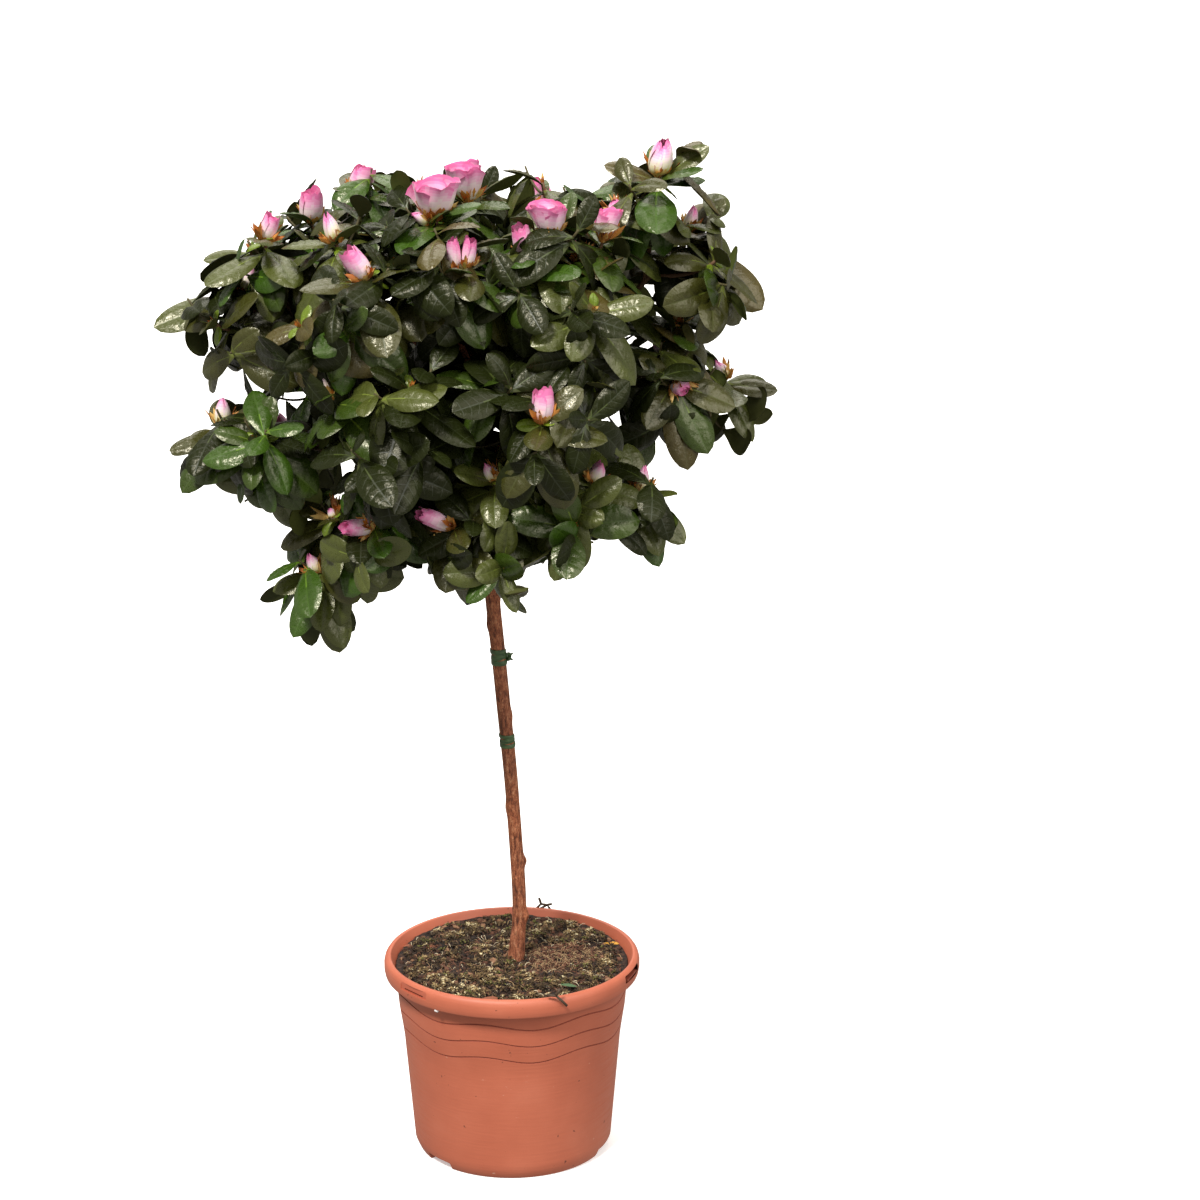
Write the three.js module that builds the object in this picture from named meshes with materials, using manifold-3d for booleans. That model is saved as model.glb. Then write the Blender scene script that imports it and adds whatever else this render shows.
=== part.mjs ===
// An azalea grown as a small standard tree, in its grower's pot: a bare leaning stem, boughs that fan
// out from its head, and masses of leaves with flower buds at the tips of their shoots.
// Millimetres, +Z up. The origin is the centre of the pot's flat underside, and the front is -Y.

import * as THREE from 'three';
import { mergeVertices } from 'three/addons/utils/BufferGeometryUtils.js';
import Module from 'manifold-3d';

const wasm = await Module();
wasm.setup();

// ---------------------------------------------------------------- driving sizes

const CLEARANCE = 0.3; // what neighbouring pieces keep between them
const SHORTEST_EDGE = 0.01; // a join that would leave a finer sliver than this isn't made
const SEED = 7;

const POT = {
  height: 150.6,
  rimRadius: 95,
  rimDepth: 14,
  rimRound: 3, // of the rim's outer edges
  mouthRadius: 89.2,
  neckRadius: 86.5,
  collarRadius: 84.3, // the wall flares a little faster above the waist
  collarHeight: 112,
  waistRadius: 80.9,
  waistHeight: 90,
  heelRadius: 73.8,
  heelHeight: 7,
  footRadius: 69.5,
  wall: 2,
  ledgeRadius: 57, // the floor steps up outside this, over the drainage notches
  ledgeHeight: 8,
  sides: 32,
};
const FEATURE_BEARINGS = [220, 340, 100]; // degrees, of the pot's notches and label slots
const NOTCH = { width: 25, height: 6, innerRadius: 65 };
const LABEL_SLOT = { length: 30, width: 3.4, depth: 3 };

const SOIL = { level: 138, edgeRise: 1.5, hummock: 1.6, rings: 3 };

const STEM = {
  // the centre line, from below the flat cut on the soil to its tip inside the crown
  line: [
    [2.6, 10, SOIL.level - 4],
    [5.8, 9.5, 182],
    [0.5, 8, 280],
    [-7.3, 6.5, 372],
    [-14, 5, 452],
    [-20, 3, 606],
  ],
  flareRadius: 7,
  flareHeight: 34,
  radius: 5.1,
  headRadius: 5.5,
  tipRadius: 3.4,
  headHeight: 440, // where the stem is thickest before it runs out into the boughs
  swellHeight: 350, // where it starts to thicken towards its head
  lowestBough: 458,
  highestBough: 598,
  sides: 10,
  stations: 13,
};

const TIES = [
  { name: 'tie_upper', low: 372.5, high: 384.5, knot: true },
  { name: 'tie_lower', low: 309, high: 319, knot: false },
];
const TIE_THICKNESS = 0.9;
const KNOT = { size: [5.4, 4.2, 6.5], sunk: 1.4, bearing: 350 };

const BOUGH = {
  footShare: 0.62, // its radius at the foot, as a share of the stem's there
  tipRadius: 2.2,
  neck: 8, // the straight stretch at its end
  bendShare: 0.45,
  lift: 0.2,
  sides: 5,
  stations: 3,
};

const CROWN = { axis: new THREE.Vector2(-20, 0), heart: new THREE.Vector3(-15, 5, 520) };

// Each mass: its name, then the bearing, reach and height of its centre about the crown's axis,
// its number of shoots, and how far their fan is turned. Bearings run anticlockwise from +X.
const MASSES = [
  ['foliage_right_peak', -11, 126, 668, 3, 55],
  ['foliage_top_right', -8, 60, 688, 3, 61],
  ['foliage_front_right_top', -57, 100, 650, 3, 24],
  ['foliage_front_top', -109, 78, 665, 3, 84],
  ['foliage_front_left_top', -133, 119, 648, 3, 47],
  ['foliage_left_top', -171, 135, 636, 4, 45],
  ['foliage_top_centre', 155, 42, 674, 3, 110],
  ['foliage_back_left_top', 137, 124, 650, 3, 20],
  ['foliage_back_top', 96, 100, 655, 3, 75],
  ['foliage_back_right_top', 47, 103, 650, 3, 40],
  ['foliage_left_side', -158, 140, 550, 3, 61],
  ['foliage_front_right_side', -74, 107, 578, 3, 152],
  ['foliage_front_left_side', -116, 122, 575, 3, 15],
  ['foliage_front_low', -91, 92, 516, 3, 113],
  ['foliage_left_low', -138, 106, 500, 3, 55],
  ['foliage_right_low', -52, 100, 525, 3, 74],
  ['foliage_right_side', -2, 122, 585, 3, 112],
  ['foliage_back_side', 95, 115, 585, 3, 30],
  ['foliage_back_left_low', 142, 113, 540, 3, 0],
  ['foliage_back_right_low', 48, 103, 538, 3, 90],
].map(([name, bearing, reach, height, shoots, turn]) => ({ name, bearing, reach, height, shoots, turn }));

const SHOOT = {
  length: 50,
  fan: 42, // degrees from the way out of the crown
  spread: 0.15, // how far one shoot's length and fan differ from the next's, as a share
  turnSpread: 24, // degrees
  stem: 27, // the mass's own stem, from its bough to its centre
  rootShares: [0.5, 0.85], // where along that stem the first and last shoots leave it
  rootShifts: [0, 0.03, 0.06, 0.09, 0.12],
  leafy: 21, // the straight stretch at the tip
  rise: 0.75, // how far that stretch turns up
  spare: 5, // kept between a tip and the edge of its mass's space
  stemRadius: 2.2,
  radius: 1.8,
  tipRadius: 1.5,
  sides: 3,
};

const LEAF = {
  perShoot: 8,
  shortest: 36,
  longest: 62,
  slimness: 0.41, // width over length
  outline: [
    // shares of the length, and of the half width there
    [0.36, 0.86],
    [0.7, 1],
  ],
  innerSize: 0.8, // of the innermost leaf of a whorl, as a share
  keelDepth: 2,
  keelShare: 0.24,
  sunk: 0.6, // how far beyond the twig's centre line the blade starts
  droop: 0.2,
  nearest: 5, // the stretch of twig, measured back from its tip, that bears the leaves
  furthest: 20,
  divergence: 137.5, // degrees from one leaf to the next round the shoot
  sway: 24,
  innerTilt: 48, // degrees off the shoot
  outerTilt: 98,
  tiltSpread: 16,
  sag: [0.2, 0.5], // how far the outer leaves hang
  tries: 12,
};

const BUD = { length: 27, radius: 6.6, sides: 5 };
const BLOOM = { length: 27, radius: 13, sides: 6 };
const FLOWER = { share: 0.72, openShare: 0.25, scales: [0.8, 1.15] }; // share of the shoots that bear one

// ---------------------------------------------------------------- helpers

const UP = new THREE.Vector3(0, 0, 1);
const FRONT = new THREE.Vector3(0, -1, 0);
const { degToRad, lerp, smoothstep } = THREE.MathUtils;
const vector = (x, y, z) => new THREE.Vector3(x, y, z);

// A repeatable stream of numbers from 0 to 1.
function seeded(seed) {
  let state = seed | 0;
  return () => {
    state = (state + 0x6d2b79f5) | 0;
    let t = Math.imul(state ^ (state >>> 15), 1 | state);
    t = (t + Math.imul(t ^ (t >>> 7), 61 | t)) ^ t;
    return ((t ^ (t >>> 14)) >>> 0) / 4294967296;
  };
}

// A closed geometry as a manifold-3d solid.
function solidOf(geometry) {
  const bare = geometry.index ? geometry.toNonIndexed() : geometry.clone();
  const positions = new THREE.BufferGeometry().setAttribute('position', bare.getAttribute('position'));
  const merged = mergeVertices(positions, 1e-4);
  return new wasm.Manifold(
    new wasm.Mesh({
      numProp: 3,
      vertProperties: merged.attributes.position.array,
      triVerts: new Uint32Array(merged.index.array),
    }),
  );
}

// A manifold-3d solid as a geometry.
function geometryOf(solid) {
  const { numProp, vertProperties, triVerts } = solid.getMesh();
  const positions = new Float32Array((vertProperties.length / numProp) * 3);
  for (let i = 0; i < positions.length / 3; i++) {
    positions.set(vertProperties.subarray(i * numProp, i * numProp + 3), i * 3);
  }
  return new THREE.BufferGeometry()
    .setAttribute('position', new THREE.BufferAttribute(positions, 3))
    .setIndex(new THREE.BufferAttribute(new Uint32Array(triVerts), 1));
}

// Two solids as one, or null where their join would leave a sliver.
function joined(solid, piece) {
  const union = solid.add(piece);
  const { vertProperties: places, triVerts } = union.getMesh();
  const corner = (i) => vector(...places.subarray(3 * triVerts[i], 3 * triVerts[i] + 3));
  for (let i = 0; i < triVerts.length; i++) {
    const next = i % 3 === 2 ? i - 2 : i + 1;
    if (corner(i).distanceTo(corner(next)) < SHORTEST_EDGE) return null;
  }
  return union;
}

// What make gives for the first option that it doesn't refuse, or null.
function firstOf(options, make) {
  for (const option of options) {
    const made = make(option);
    if (made) return made;
  }
  return null;
}

// A closed geometry from a list of points and a list of triangles.
function facets(points, triangles) {
  return new THREE.BufferGeometry().setFromPoints(points).setIndex(triangles.flat());
}

// A tapering limb through a row of points: a ring of sides at each, with radius(t) from end to end,
// and flat ends. Each ring is squared to the limb's own run, so that the sides don't twist.
function limb(line, radius, sides) {
  const points = [];
  const triangles = [];
  const last = line.length - 1;
  const across = new THREE.Vector3();
  line.forEach((centre, i) => {
    const along = line[Math.min(i + 1, last)].clone().sub(line[Math.max(i - 1, 0)]).normalize();
    if (i === 0) across.copy(Math.abs(along.z) > 0.9 ? FRONT : UP);
    across.addScaledVector(along, -across.dot(along)).normalize();
    const other = along.clone().cross(across);
    for (let k = 0; k < sides; k++) {
      const angle = (2 * Math.PI * k) / sides;
      const [u, v] = [Math.cos(angle) * radius(i / last), Math.sin(angle) * radius(i / last)];
      points.push(centre.clone().addScaledVector(across, u).addScaledVector(other, v));
    }
  });
  for (let i = 0; i < last; i++) {
    for (let k = 0; k < sides; k++) {
      const a = i * sides + k;
      const b = i * sides + ((k + 1) % sides);
      triangles.push([a, b, a + sides], [b, b + sides, a + sides]);
    }
  }
  const end = last * sides;
  for (let k = 1; k < sides - 1; k++) {
    triangles.push([0, k + 1, k], [end, end + k, end + k + 1]);
  }
  return facets(points, triangles);
}

// A lathe about +Z: LatheGeometry turns about +Y, so it is stood up.
function turned(profile, sides) {
  return new THREE.LatheGeometry(
    profile.map(([r, z]) => new THREE.Vector2(r, z)),
    sides,
  ).rotateX(Math.PI / 2);
}

function boxAt(size, radius, height, bearing) {
  return new THREE.BoxGeometry(...size).translate(radius, 0, height).rotateZ(degToRad(bearing));
}

function material(color, roughness) {
  return new THREE.MeshStandardMaterial({ color, roughness, metalness: 0 });
}

const TERRACOTTA = material(0xc0694f, 0.55);
const COMPOST = material(0x5a4a35, 0.95);
const BARK = material(0x8a5138, 0.85);
const TAPE = material(0x4c5f3a, 0.6);
const LEAVES = material(0x2f3a28, 0.45);

const azalea = new THREE.Group();

function add(name, geometry, finish) {
  const mesh = new THREE.Mesh(geometry, finish);
  mesh.name = name;
  azalea.add(mesh);
}

// ---------------------------------------------------------------- pot and compost

// The pot's section: outside from the foot to the rim, then inside down to the stepped floor.
function potGeometry() {
  const rimLow = POT.height - POT.rimDepth;
  const crest = (POT.rimRadius + POT.mouthRadius) / 2;
  const outside = [
    [0, 0],
    [POT.footRadius, 0],
    [POT.heelRadius, POT.heelHeight],
    [POT.waistRadius, POT.waistHeight],
    [POT.collarRadius, POT.collarHeight],
    [POT.neckRadius, rimLow],
    [POT.rimRadius - POT.rimRound / 3, rimLow],
    [POT.rimRadius, rimLow + POT.rimRound],
    [POT.rimRadius, POT.height - 1.5 * POT.rimRound],
    [POT.rimRadius - POT.rimRound / 2, POT.height - POT.rimRound / 3],
    [crest, POT.height],
    [POT.mouthRadius, POT.height - POT.rimRound / 2],
  ];
  let solid = solidOf(turned([...outside, ...potInside(0), [0, POT.wall]], POT.sides));
  const notch = [2 * (POT.heelRadius - NOTCH.innerRadius), NOTCH.width, 2 * NOTCH.height];
  const slot = [LABEL_SLOT.width, LABEL_SLOT.length, 2 * LABEL_SLOT.depth];
  for (const bearing of FEATURE_BEARINGS) {
    solid = solid.subtract(solidOf(boxAt(notch, POT.heelRadius, 0, bearing)));
    solid = solid.subtract(solidOf(boxAt(slot, crest, POT.height, bearing)));
  }
  return geometryOf(solid);
}

// The pot's inner face from the mouth down to the floor's step, moved inwards by an offset.
function potInside(offset) {
  const { wall, ledgeHeight, ledgeRadius } = POT;
  return [
    [POT.neckRadius - wall - offset, POT.height - POT.rimDepth - 2],
    [POT.collarRadius - wall - offset, POT.collarHeight],
    [POT.waistRadius - wall - offset, POT.waistHeight],
    [POT.heelRadius - wall - offset, ledgeHeight + offset],
    [ledgeRadius - offset, ledgeHeight + offset],
    [ledgeRadius - 4 - offset, wall + offset],
  ];
}

// The compost fills the pot to a little under the rim: flat round the stem, and hummocky towards the wall.
function soilGeometry() {
  const { level, edgeRise, hummock, rings } = SOIL;
  const mouth = POT.neckRadius - POT.wall - CLEARANCE;
  const top = Array.from({ length: rings }, (_, i) => {
    const share = (i + 1) / rings;
    return [mouth * share, level + (i + 1 < rings ? 0 : edgeRise)];
  });
  const outline = [[0, level], ...top, ...potInside(CLEARANCE), [0, POT.wall + CLEARANCE]].reverse();
  const geometry = turned(outline, POT.sides);
  const position = geometry.getAttribute('position');
  const flatRadius = (1.1 * mouth) / rings;
  for (let i = 0; i < position.count; i++) {
    const [x, y, z] = [position.getX(i), position.getY(i), position.getZ(i)];
    if (z < level - 1 || Math.hypot(x, y) < flatRadius) continue;
    position.setZ(i, z + hummock * Math.sin(x / 9 + 2 * Math.cos(y / 13)) * Math.cos(y / 11));
  }
  return geometry;
}

add('pot', potGeometry(), TERRACOTTA);
add('soil', soilGeometry(), COMPOST);

// ---------------------------------------------------------------- stem and ties

const stemLine = new THREE.CatmullRomCurve3(STEM.line.map((p) => vector(...p)));

// The share of the stem's length at which it reaches a height, by halving.
function stemShare(height, low = 0, high = 1) {
  const middle = (low + high) / 2;
  if (high - low < 1e-9) return middle;
  const [nextLow, nextHigh] = stemLine.getPointAt(middle).z < height ? [middle, high] : [low, middle];
  return stemShare(height, nextLow, nextHigh);
}

function stemRadius(t) {
  const height = stemLine.getPointAt(t).z;
  const flare = Math.max(0, 1 - (height - SOIL.level) / STEM.flareHeight);
  const { radius, headRadius, tipRadius, headHeight, swellHeight, flareRadius } = STEM;
  if (height > headHeight) {
    const top = STEM.line.at(-1)[2];
    return lerp(headRadius, tipRadius, (height - headHeight) / (top - headHeight));
  }
  const swell = smoothstep(height, swellHeight, headHeight);
  return radius + (headRadius - radius) * swell + (flareRadius - radius) * flare ** 2;
}

function stemSolid(extra = 0) {
  const line = stemLine.getSpacedPoints(STEM.stations);
  const below = new THREE.BoxGeometry(100, 100, 20).translate(0, 0, SOIL.level + CLEARANCE - 10);
  return solidOf(limb(line, (t) => stemRadius(t) + extra, STEM.sides)).subtract(solidOf(below));
}

function tieGeometry({ low, high, knot }) {
  const middle = stemLine.getPointAt(stemShare((low + high) / 2));
  const radius = stemRadius(stemShare(middle.z)) + CLEARANCE + TIE_THICKNESS;
  const ends = [low, high].map((height) => stemLine.getPointAt(stemShare(height)));
  let band = solidOf(limb(ends, () => radius, STEM.sides));
  if (knot) {
    const lump = boxAt(KNOT.size, radius + KNOT.size[0] / 2 - KNOT.sunk, 0, KNOT.bearing);
    band = band.add(solidOf(lump.translate(middle.x, middle.y, middle.z)));
  }
  return geometryOf(band.subtract(stemSolid(CLEARANCE)));
}

add('stem', geometryOf(stemSolid()), BARK);
for (const tie of TIES) add(tie.name, tieGeometry(tie), TAPE);

// ---------------------------------------------------------------- the crown's layout

function massCentre({ bearing, reach, height }) {
  const angle = degToRad(bearing);
  return vector(CROWN.axis.x + reach * Math.cos(angle), CROWN.axis.y + reach * Math.sin(angle), height);
}

for (const mass of MASSES) {
  mass.centre = massCentre(mass);
  mass.outward = mass.centre.clone().sub(CROWN.heart).normalize();
  mass.entry = mass.centre.clone().addScaledVector(mass.outward, -SHOOT.stem);
}

// Boughs leave the stem in the order of their masses' heights, evenly spaced, so that none cross.
const fromLowest = [...MASSES].sort((a, b) => a.height - b.height);
fromLowest.forEach((mass, i) => {
  const step = (STEM.highestBough - STEM.lowestBough) / (MASSES.length - 1);
  mass.boughHeight = STEM.lowestBough + i * step;
});

// A point keeps to a mass's own space if no other mass's centre is nearer, with the clearance to spare.
function inOwnSpace(point, mass) {
  const own = point.distanceToSquared(mass.centre);
  return MASSES.every((other) => {
    if (other === mass) return true;
    const between = other.centre.distanceTo(mass.centre);
    return (point.distanceToSquared(other.centre) - own) / (2 * between) > CLEARANCE;
  });
}

function keepsToSpace(geometry, mass) {
  const positions = geometry.getAttribute('position');
  const point = new THREE.Vector3();
  for (let i = 0; i < positions.count; i++) {
    if (!inOwnSpace(point.fromBufferAttribute(positions, i), mass)) return false;
  }
  return true;
}

// ---------------------------------------------------------------- boughs

// A bough rises from inside the stem, leans over, and ends straight in line with its mass's own stem.
function boughSolid({ entry, outward, boughHeight }, extra = 0) {
  const share = stemShare(boughHeight);
  const foot = stemLine.getPointAt(share);
  const neck = entry.clone().addScaledVector(outward, -BOUGH.neck);
  const bend = foot.clone().lerp(neck, BOUGH.bendShare);
  bend.z += BOUGH.lift * (foot.distanceTo(neck) - Math.abs(neck.z - foot.z));
  const line = new THREE.QuadraticBezierCurve3(foot, bend, neck).getSpacedPoints(BOUGH.stations);
  const radius = (t) => lerp(BOUGH.footShare * stemRadius(share), BOUGH.tipRadius, t) + extra;
  return solidOf(limb([...line, entry], radius, BOUGH.sides));
}

const stemHull = stemSolid(CLEARANCE);
let limbs = stemSolid(2 * CLEARANCE);
for (const mass of MASSES) {
  add(mass.name.replace('foliage', 'bough'), geometryOf(boughSolid(mass).subtract(stemHull)), BARK);
  limbs = limbs.add(boughSolid(mass, 2 * CLEARANCE));
}

// The solid of a shoot, leaf or flower, or null where it would leave its mass's space or touch a limb.
function fitted(geometry, mass) {
  if (!keepsToSpace(geometry, mass)) return null;
  const solid = solidOf(geometry);
  return solid.intersect(limbs).isEmpty() ? solid : null;
}

// ---------------------------------------------------------------- leaves and buds

// A leaf from its root: a thin drooping blade, widest past the middle, over a keel near its root.
// frame holds the unit vectors along the blade, across it and out of its upper face.
function leafGeometry(root, frame, length) {
  const half = (LEAF.slimness * length) / 2;
  const place = (share, across, below = 0) =>
    root
      .clone()
      .addScaledVector(frame.along, share * length)
      .addScaledVector(frame.across, across)
      .addScaledVector(frame.face, -LEAF.droop * length * share ** 2 - below);
  const [low, high] = LEAF.outline;
  const outline = [
    place(0, 0),
    place(low[0], -low[1] * half),
    place(high[0], -high[1] * half),
    place(1, 0),
    place(high[0], high[1] * half),
    place(low[0], low[1] * half),
  ];
  const keel = place(LEAF.keelShare, 0, LEAF.keelDepth);
  const upper = [[0, 1, 5], [1, 2, 5], [2, 4, 5], [2, 3, 4]];
  const lower = outline.map((_, i) => [(i + 1) % outline.length, i, outline.length]);
  return facets([...outline, keel], [...upper, ...lower]);
}

// The blade's directions: tilted off the shoot's axis at a bearing round it, and bent down by its weight.
function leafFrame(axis, around, tilt, weight) {
  const side = Math.abs(axis.z) > 0.95 ? vector(1, 0, 0) : UP.clone().cross(axis).normalize();
  const radial = side.clone().applyAxisAngle(axis, around);
  const along = axis.clone().multiplyScalar(Math.cos(tilt)).addScaledVector(radial, Math.sin(tilt));
  along.z -= weight;
  along.normalize();
  const face = axis.clone().addScaledVector(along, -axis.dot(along)).normalize();
  return { along, face, across: face.clone().cross(along) };
}

// The solid with one more leaf of a whorl, tried at a few bearings and lengths until it finds room.
function withLeaf(solid, leaves, mass, tip, axis, draw, rank) {
  const outer = 1 - rank / (LEAF.perShoot - 1); // 1 for the lowest leaf of the whorl, 0 for the highest
  const base = tip.clone().addScaledVector(axis, -lerp(LEAF.nearest, LEAF.furthest, outer));
  for (let attempt = 0; attempt < LEAF.tries; attempt++) {
    const sway = LEAF.sway * (1 + attempt) * (draw() - 0.5);
    const around = degToRad(LEAF.divergence * rank + sway);
    const lean = lerp(LEAF.innerTilt, LEAF.outerTilt, outer) + LEAF.tiltSpread * (draw() - 0.5);
    const weight = outer * lerp(...LEAF.sag, draw());
    const size = lerp(LEAF.innerSize, 1, outer);
    const length = lerp(LEAF.longest, LEAF.shortest, attempt / LEAF.tries) * size;
    const frame = leafFrame(axis, around, degToRad(lean), weight);
    const root = base.clone().addScaledVector(frame.along, -LEAF.sunk);
    const leaf = fitted(leafGeometry(root, frame, length), mass);
    if (!leaf || leaves.some((other) => !other.intersect(leaf).isEmpty())) continue;
    const union = joined(solid, leaf);
    if (!union) continue;
    leaves.push(leaf);
    return union;
  }
  return solid;
}

// Turned bodies that stand on a shoot's tip: a pointed bud, or a bloom just opening like a cup.
const BUD_PROFILE = [
  [0, -0.08],
  [0.92, 0.3],
  [0.8, 0.68],
  [0, 1],
];
const BLOOM_PROFILE = [
  [0, -0.08],
  [0.36, 0.16],
  [0.72, 0.6],
  [1, 1],
  [0.5, 0.82],
  [0, 0.7],
];

function flowerGeometry(tip, axis, size, profile, scale) {
  const shape = profile.map(([r, z]) => [r * size.radius * scale, z * size.length * scale]);
  const turn = new THREE.Quaternion().setFromUnitVectors(UP, axis);
  return turned(shape, size.sides).applyQuaternion(turn).translate(tip.x, tip.y, tip.z);
}

// ---------------------------------------------------------------- masses of foliage

// The shoots of a mass fan out from its centre, about the way that leads out of the crown, and end
// short of the edge of its space.
function shootsOf(mass, draw) {
  const side = mass.outward.clone().cross(UP).normalize();
  const up = side.clone().cross(mass.outward);
  return Array.from({ length: mass.shoots }, (_, k) => {
    const vary = () => 1 + SHOOT.spread * (2 * draw() - 1);
    const around = degToRad(mass.turn + (360 * k) / mass.shoots + SHOOT.turnSpread * (draw() - 0.5));
    const fan = degToRad(SHOOT.fan * vary());
    const length = SHOOT.length * vary();
    const direction = mass.outward
      .clone()
      .multiplyScalar(Math.cos(fan))
      .addScaledVector(side, Math.cos(around) * Math.sin(fan))
      .addScaledVector(up, Math.sin(around) * Math.sin(fan));
    const axis = direction.clone().addScaledVector(UP, SHOOT.rise).normalize();
    const tip = mass.centre.clone().addScaledVector(direction, length);
    while (!inOwnSpace(tip.clone().addScaledVector(direction, SHOOT.spare), mass)) {
      tip.addScaledVector(direction, -SHOOT.spare);
    }
    return { tip, axis };
  });
}

function foliageSolid(mass, index) {
  const draw = seeded(SEED * 1000 + index);
  const start = mass.entry.clone().addScaledVector(mass.outward, CLEARANCE);
  const end = mass.centre.clone().addScaledVector(mass.outward, SHOOT.radius);
  let solid = solidOf(limb([start, end], () => SHOOT.stemRadius, SHOOT.sides));
  const leaves = [];
  shootsOf(mass, draw).forEach(({ tip, axis }, k) => {
    const growth = seeded((SEED * 1000 + index) * 10 + k);
    const bend = tip.clone().addScaledVector(axis, -SHOOT.leafy);
    const radius = (t) => lerp(SHOOT.radius, SHOOT.tipRadius, t);
    const grown = firstOf(SHOOT.rootShifts, (shift) => {
      const root = start.clone().lerp(end, lerp(...SHOOT.rootShares, k / mass.shoots) + shift);
      const twig = fitted(limb([root, bend, tip], radius, SHOOT.sides), mass);
      return twig && joined(solid, twig);
    });
    if (!grown) return;
    solid = grown;
    for (let rank = 0; rank < LEAF.perShoot; rank++) {
      solid = withLeaf(solid, leaves, mass, tip, axis, growth, rank);
    }
    if (growth() > FLOWER.share) return;
    const scale = lerp(...FLOWER.scales, growth());
    const [size, profile] = growth() < FLOWER.openShare ? [BLOOM, BLOOM_PROFILE] : [BUD, BUD_PROFILE];
    const flower = fitted(flowerGeometry(tip, axis, size, profile, scale), mass);
    if (flower) solid = joined(solid, flower) ?? solid;
  });
  return solid;
}

MASSES.forEach((mass, index) => add(mass.name, geometryOf(foliageSolid(mass, index)), LEAVES));

export default azalea;
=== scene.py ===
"""An azalea grown as a standard: a loose round crown of leathery leaves and pink buds on one bare
stem, in a terracotta-coloured plastic pot.

Every length is in millimetres until a mesh is made, and every place is in the row's own frame: the
pot stands on z = 0 about the Z axis, and the front faces -Y.
"""

import math

import bpy
import numpy as np
from mathutils import Euler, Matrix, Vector


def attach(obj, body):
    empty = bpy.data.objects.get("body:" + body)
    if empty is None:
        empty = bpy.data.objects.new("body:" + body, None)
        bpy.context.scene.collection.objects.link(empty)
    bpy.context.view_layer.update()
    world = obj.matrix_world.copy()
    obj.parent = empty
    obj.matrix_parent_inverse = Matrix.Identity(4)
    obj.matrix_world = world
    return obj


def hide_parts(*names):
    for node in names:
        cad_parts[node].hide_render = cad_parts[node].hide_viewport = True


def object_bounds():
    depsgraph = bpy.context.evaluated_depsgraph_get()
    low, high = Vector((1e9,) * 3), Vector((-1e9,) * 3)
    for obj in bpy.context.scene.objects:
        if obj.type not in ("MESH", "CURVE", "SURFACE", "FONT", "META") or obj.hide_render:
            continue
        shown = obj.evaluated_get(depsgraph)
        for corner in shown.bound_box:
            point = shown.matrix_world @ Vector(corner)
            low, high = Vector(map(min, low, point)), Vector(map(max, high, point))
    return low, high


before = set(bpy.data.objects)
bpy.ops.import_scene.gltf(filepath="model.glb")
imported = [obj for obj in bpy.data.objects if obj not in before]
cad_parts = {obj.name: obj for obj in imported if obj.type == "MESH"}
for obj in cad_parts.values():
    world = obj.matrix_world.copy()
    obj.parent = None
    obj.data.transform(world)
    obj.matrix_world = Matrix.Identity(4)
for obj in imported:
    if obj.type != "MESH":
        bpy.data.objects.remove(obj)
cad_box = [list(corner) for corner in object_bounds()]

MM = 0.001
UP = np.array([0.0, 0.0, 1.0])
FULL_TURN = 2 * math.pi

# ---------------------------------------------------------------- the camera

PICTURE = 1200  # pixels along each side of the photograph
CAMERA = {"place": (0, -2200, 1043.3), "pitch": 15.76, "yaw": 1.71, "lens": 95, "sensor": 36}
CAMERA_TURN = Euler((math.radians(90 - CAMERA["pitch"]), 0, math.radians(-CAMERA["yaw"])))
CAMERA_PLACE = np.array(CAMERA["place"], float)
FOCAL = CAMERA["lens"] / CAMERA["sensor"] * PICTURE  # the focal length in pixels

# ---------------------------------------------------------------- the plant's sizes

SEED = 7
POT = {
    "height": 150.6,
    "outside": [
        (69.5, 0.0), (70.6, 0.4), (71.3, 1.4), (73.8, 7.0), (80.9, 90.0), (84.3, 112.0), (86.5, 136.0),
        (86.9, 136.6), (93.4, 136.6), (94.1, 137.0), (94.4, 137.8), (95.0, 141.0), (95.0, 145.4),
        (94.4, 148.0), (93.2, 149.8), (91.6, 150.6), (90.1, 150.2), (89.2, 148.8),
    ],
    "inside": [
        (86.0, 138.0), (84.5, 134.6), (82.3, 112.0), (78.9, 90.0), (71.8, 8.0), (57.0, 8.0), (53.0, 2.0),
    ],
    "floor": 2.0,
    "sides": 288,
}
GROOVE = {"heights": (98.5, 112.0, 125.5), "wave": 2.3, "waves": 7, "phase": 14, "depth": 0.6, "half": 0.6}
FEATURE_BEARINGS = (220, 340, 100)  # degrees, of the pot's notches and label slots
NOTCH = {"width": 25, "height": 6, "depth": 30, "inner_radius": 65}
LABEL_SLOT = {  # a flat panel in the rim's outer face, and the thin slit in it
    # the panel's cut faces take the panel plastic (paint 2), a little darker: painted shade
    "panel": {"radii": (93.4, 100), "heights": (142.6, 148.2), "length": 29, "paint": 2},
    # the slit's cut faces take the darker plastic (paint 1): painted shade
    "slit": {"radii": (91.2, 94.2), "heights": (143.1, 144.2), "length": 21, "paint": 1},
}
SOIL = {
    "level": 138.0, "edge_rise": 1.5, "hummock": 1.6, "radius": 86.2, "crumble": 1.1,
    "heap": 3.0, "back_heap": 3.4,  # how far the loose top stands out, and how much more at the back
}
PEAT = {"place": (36, 8), "radius": 27}  # a bare brown patch beside the stem

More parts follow.
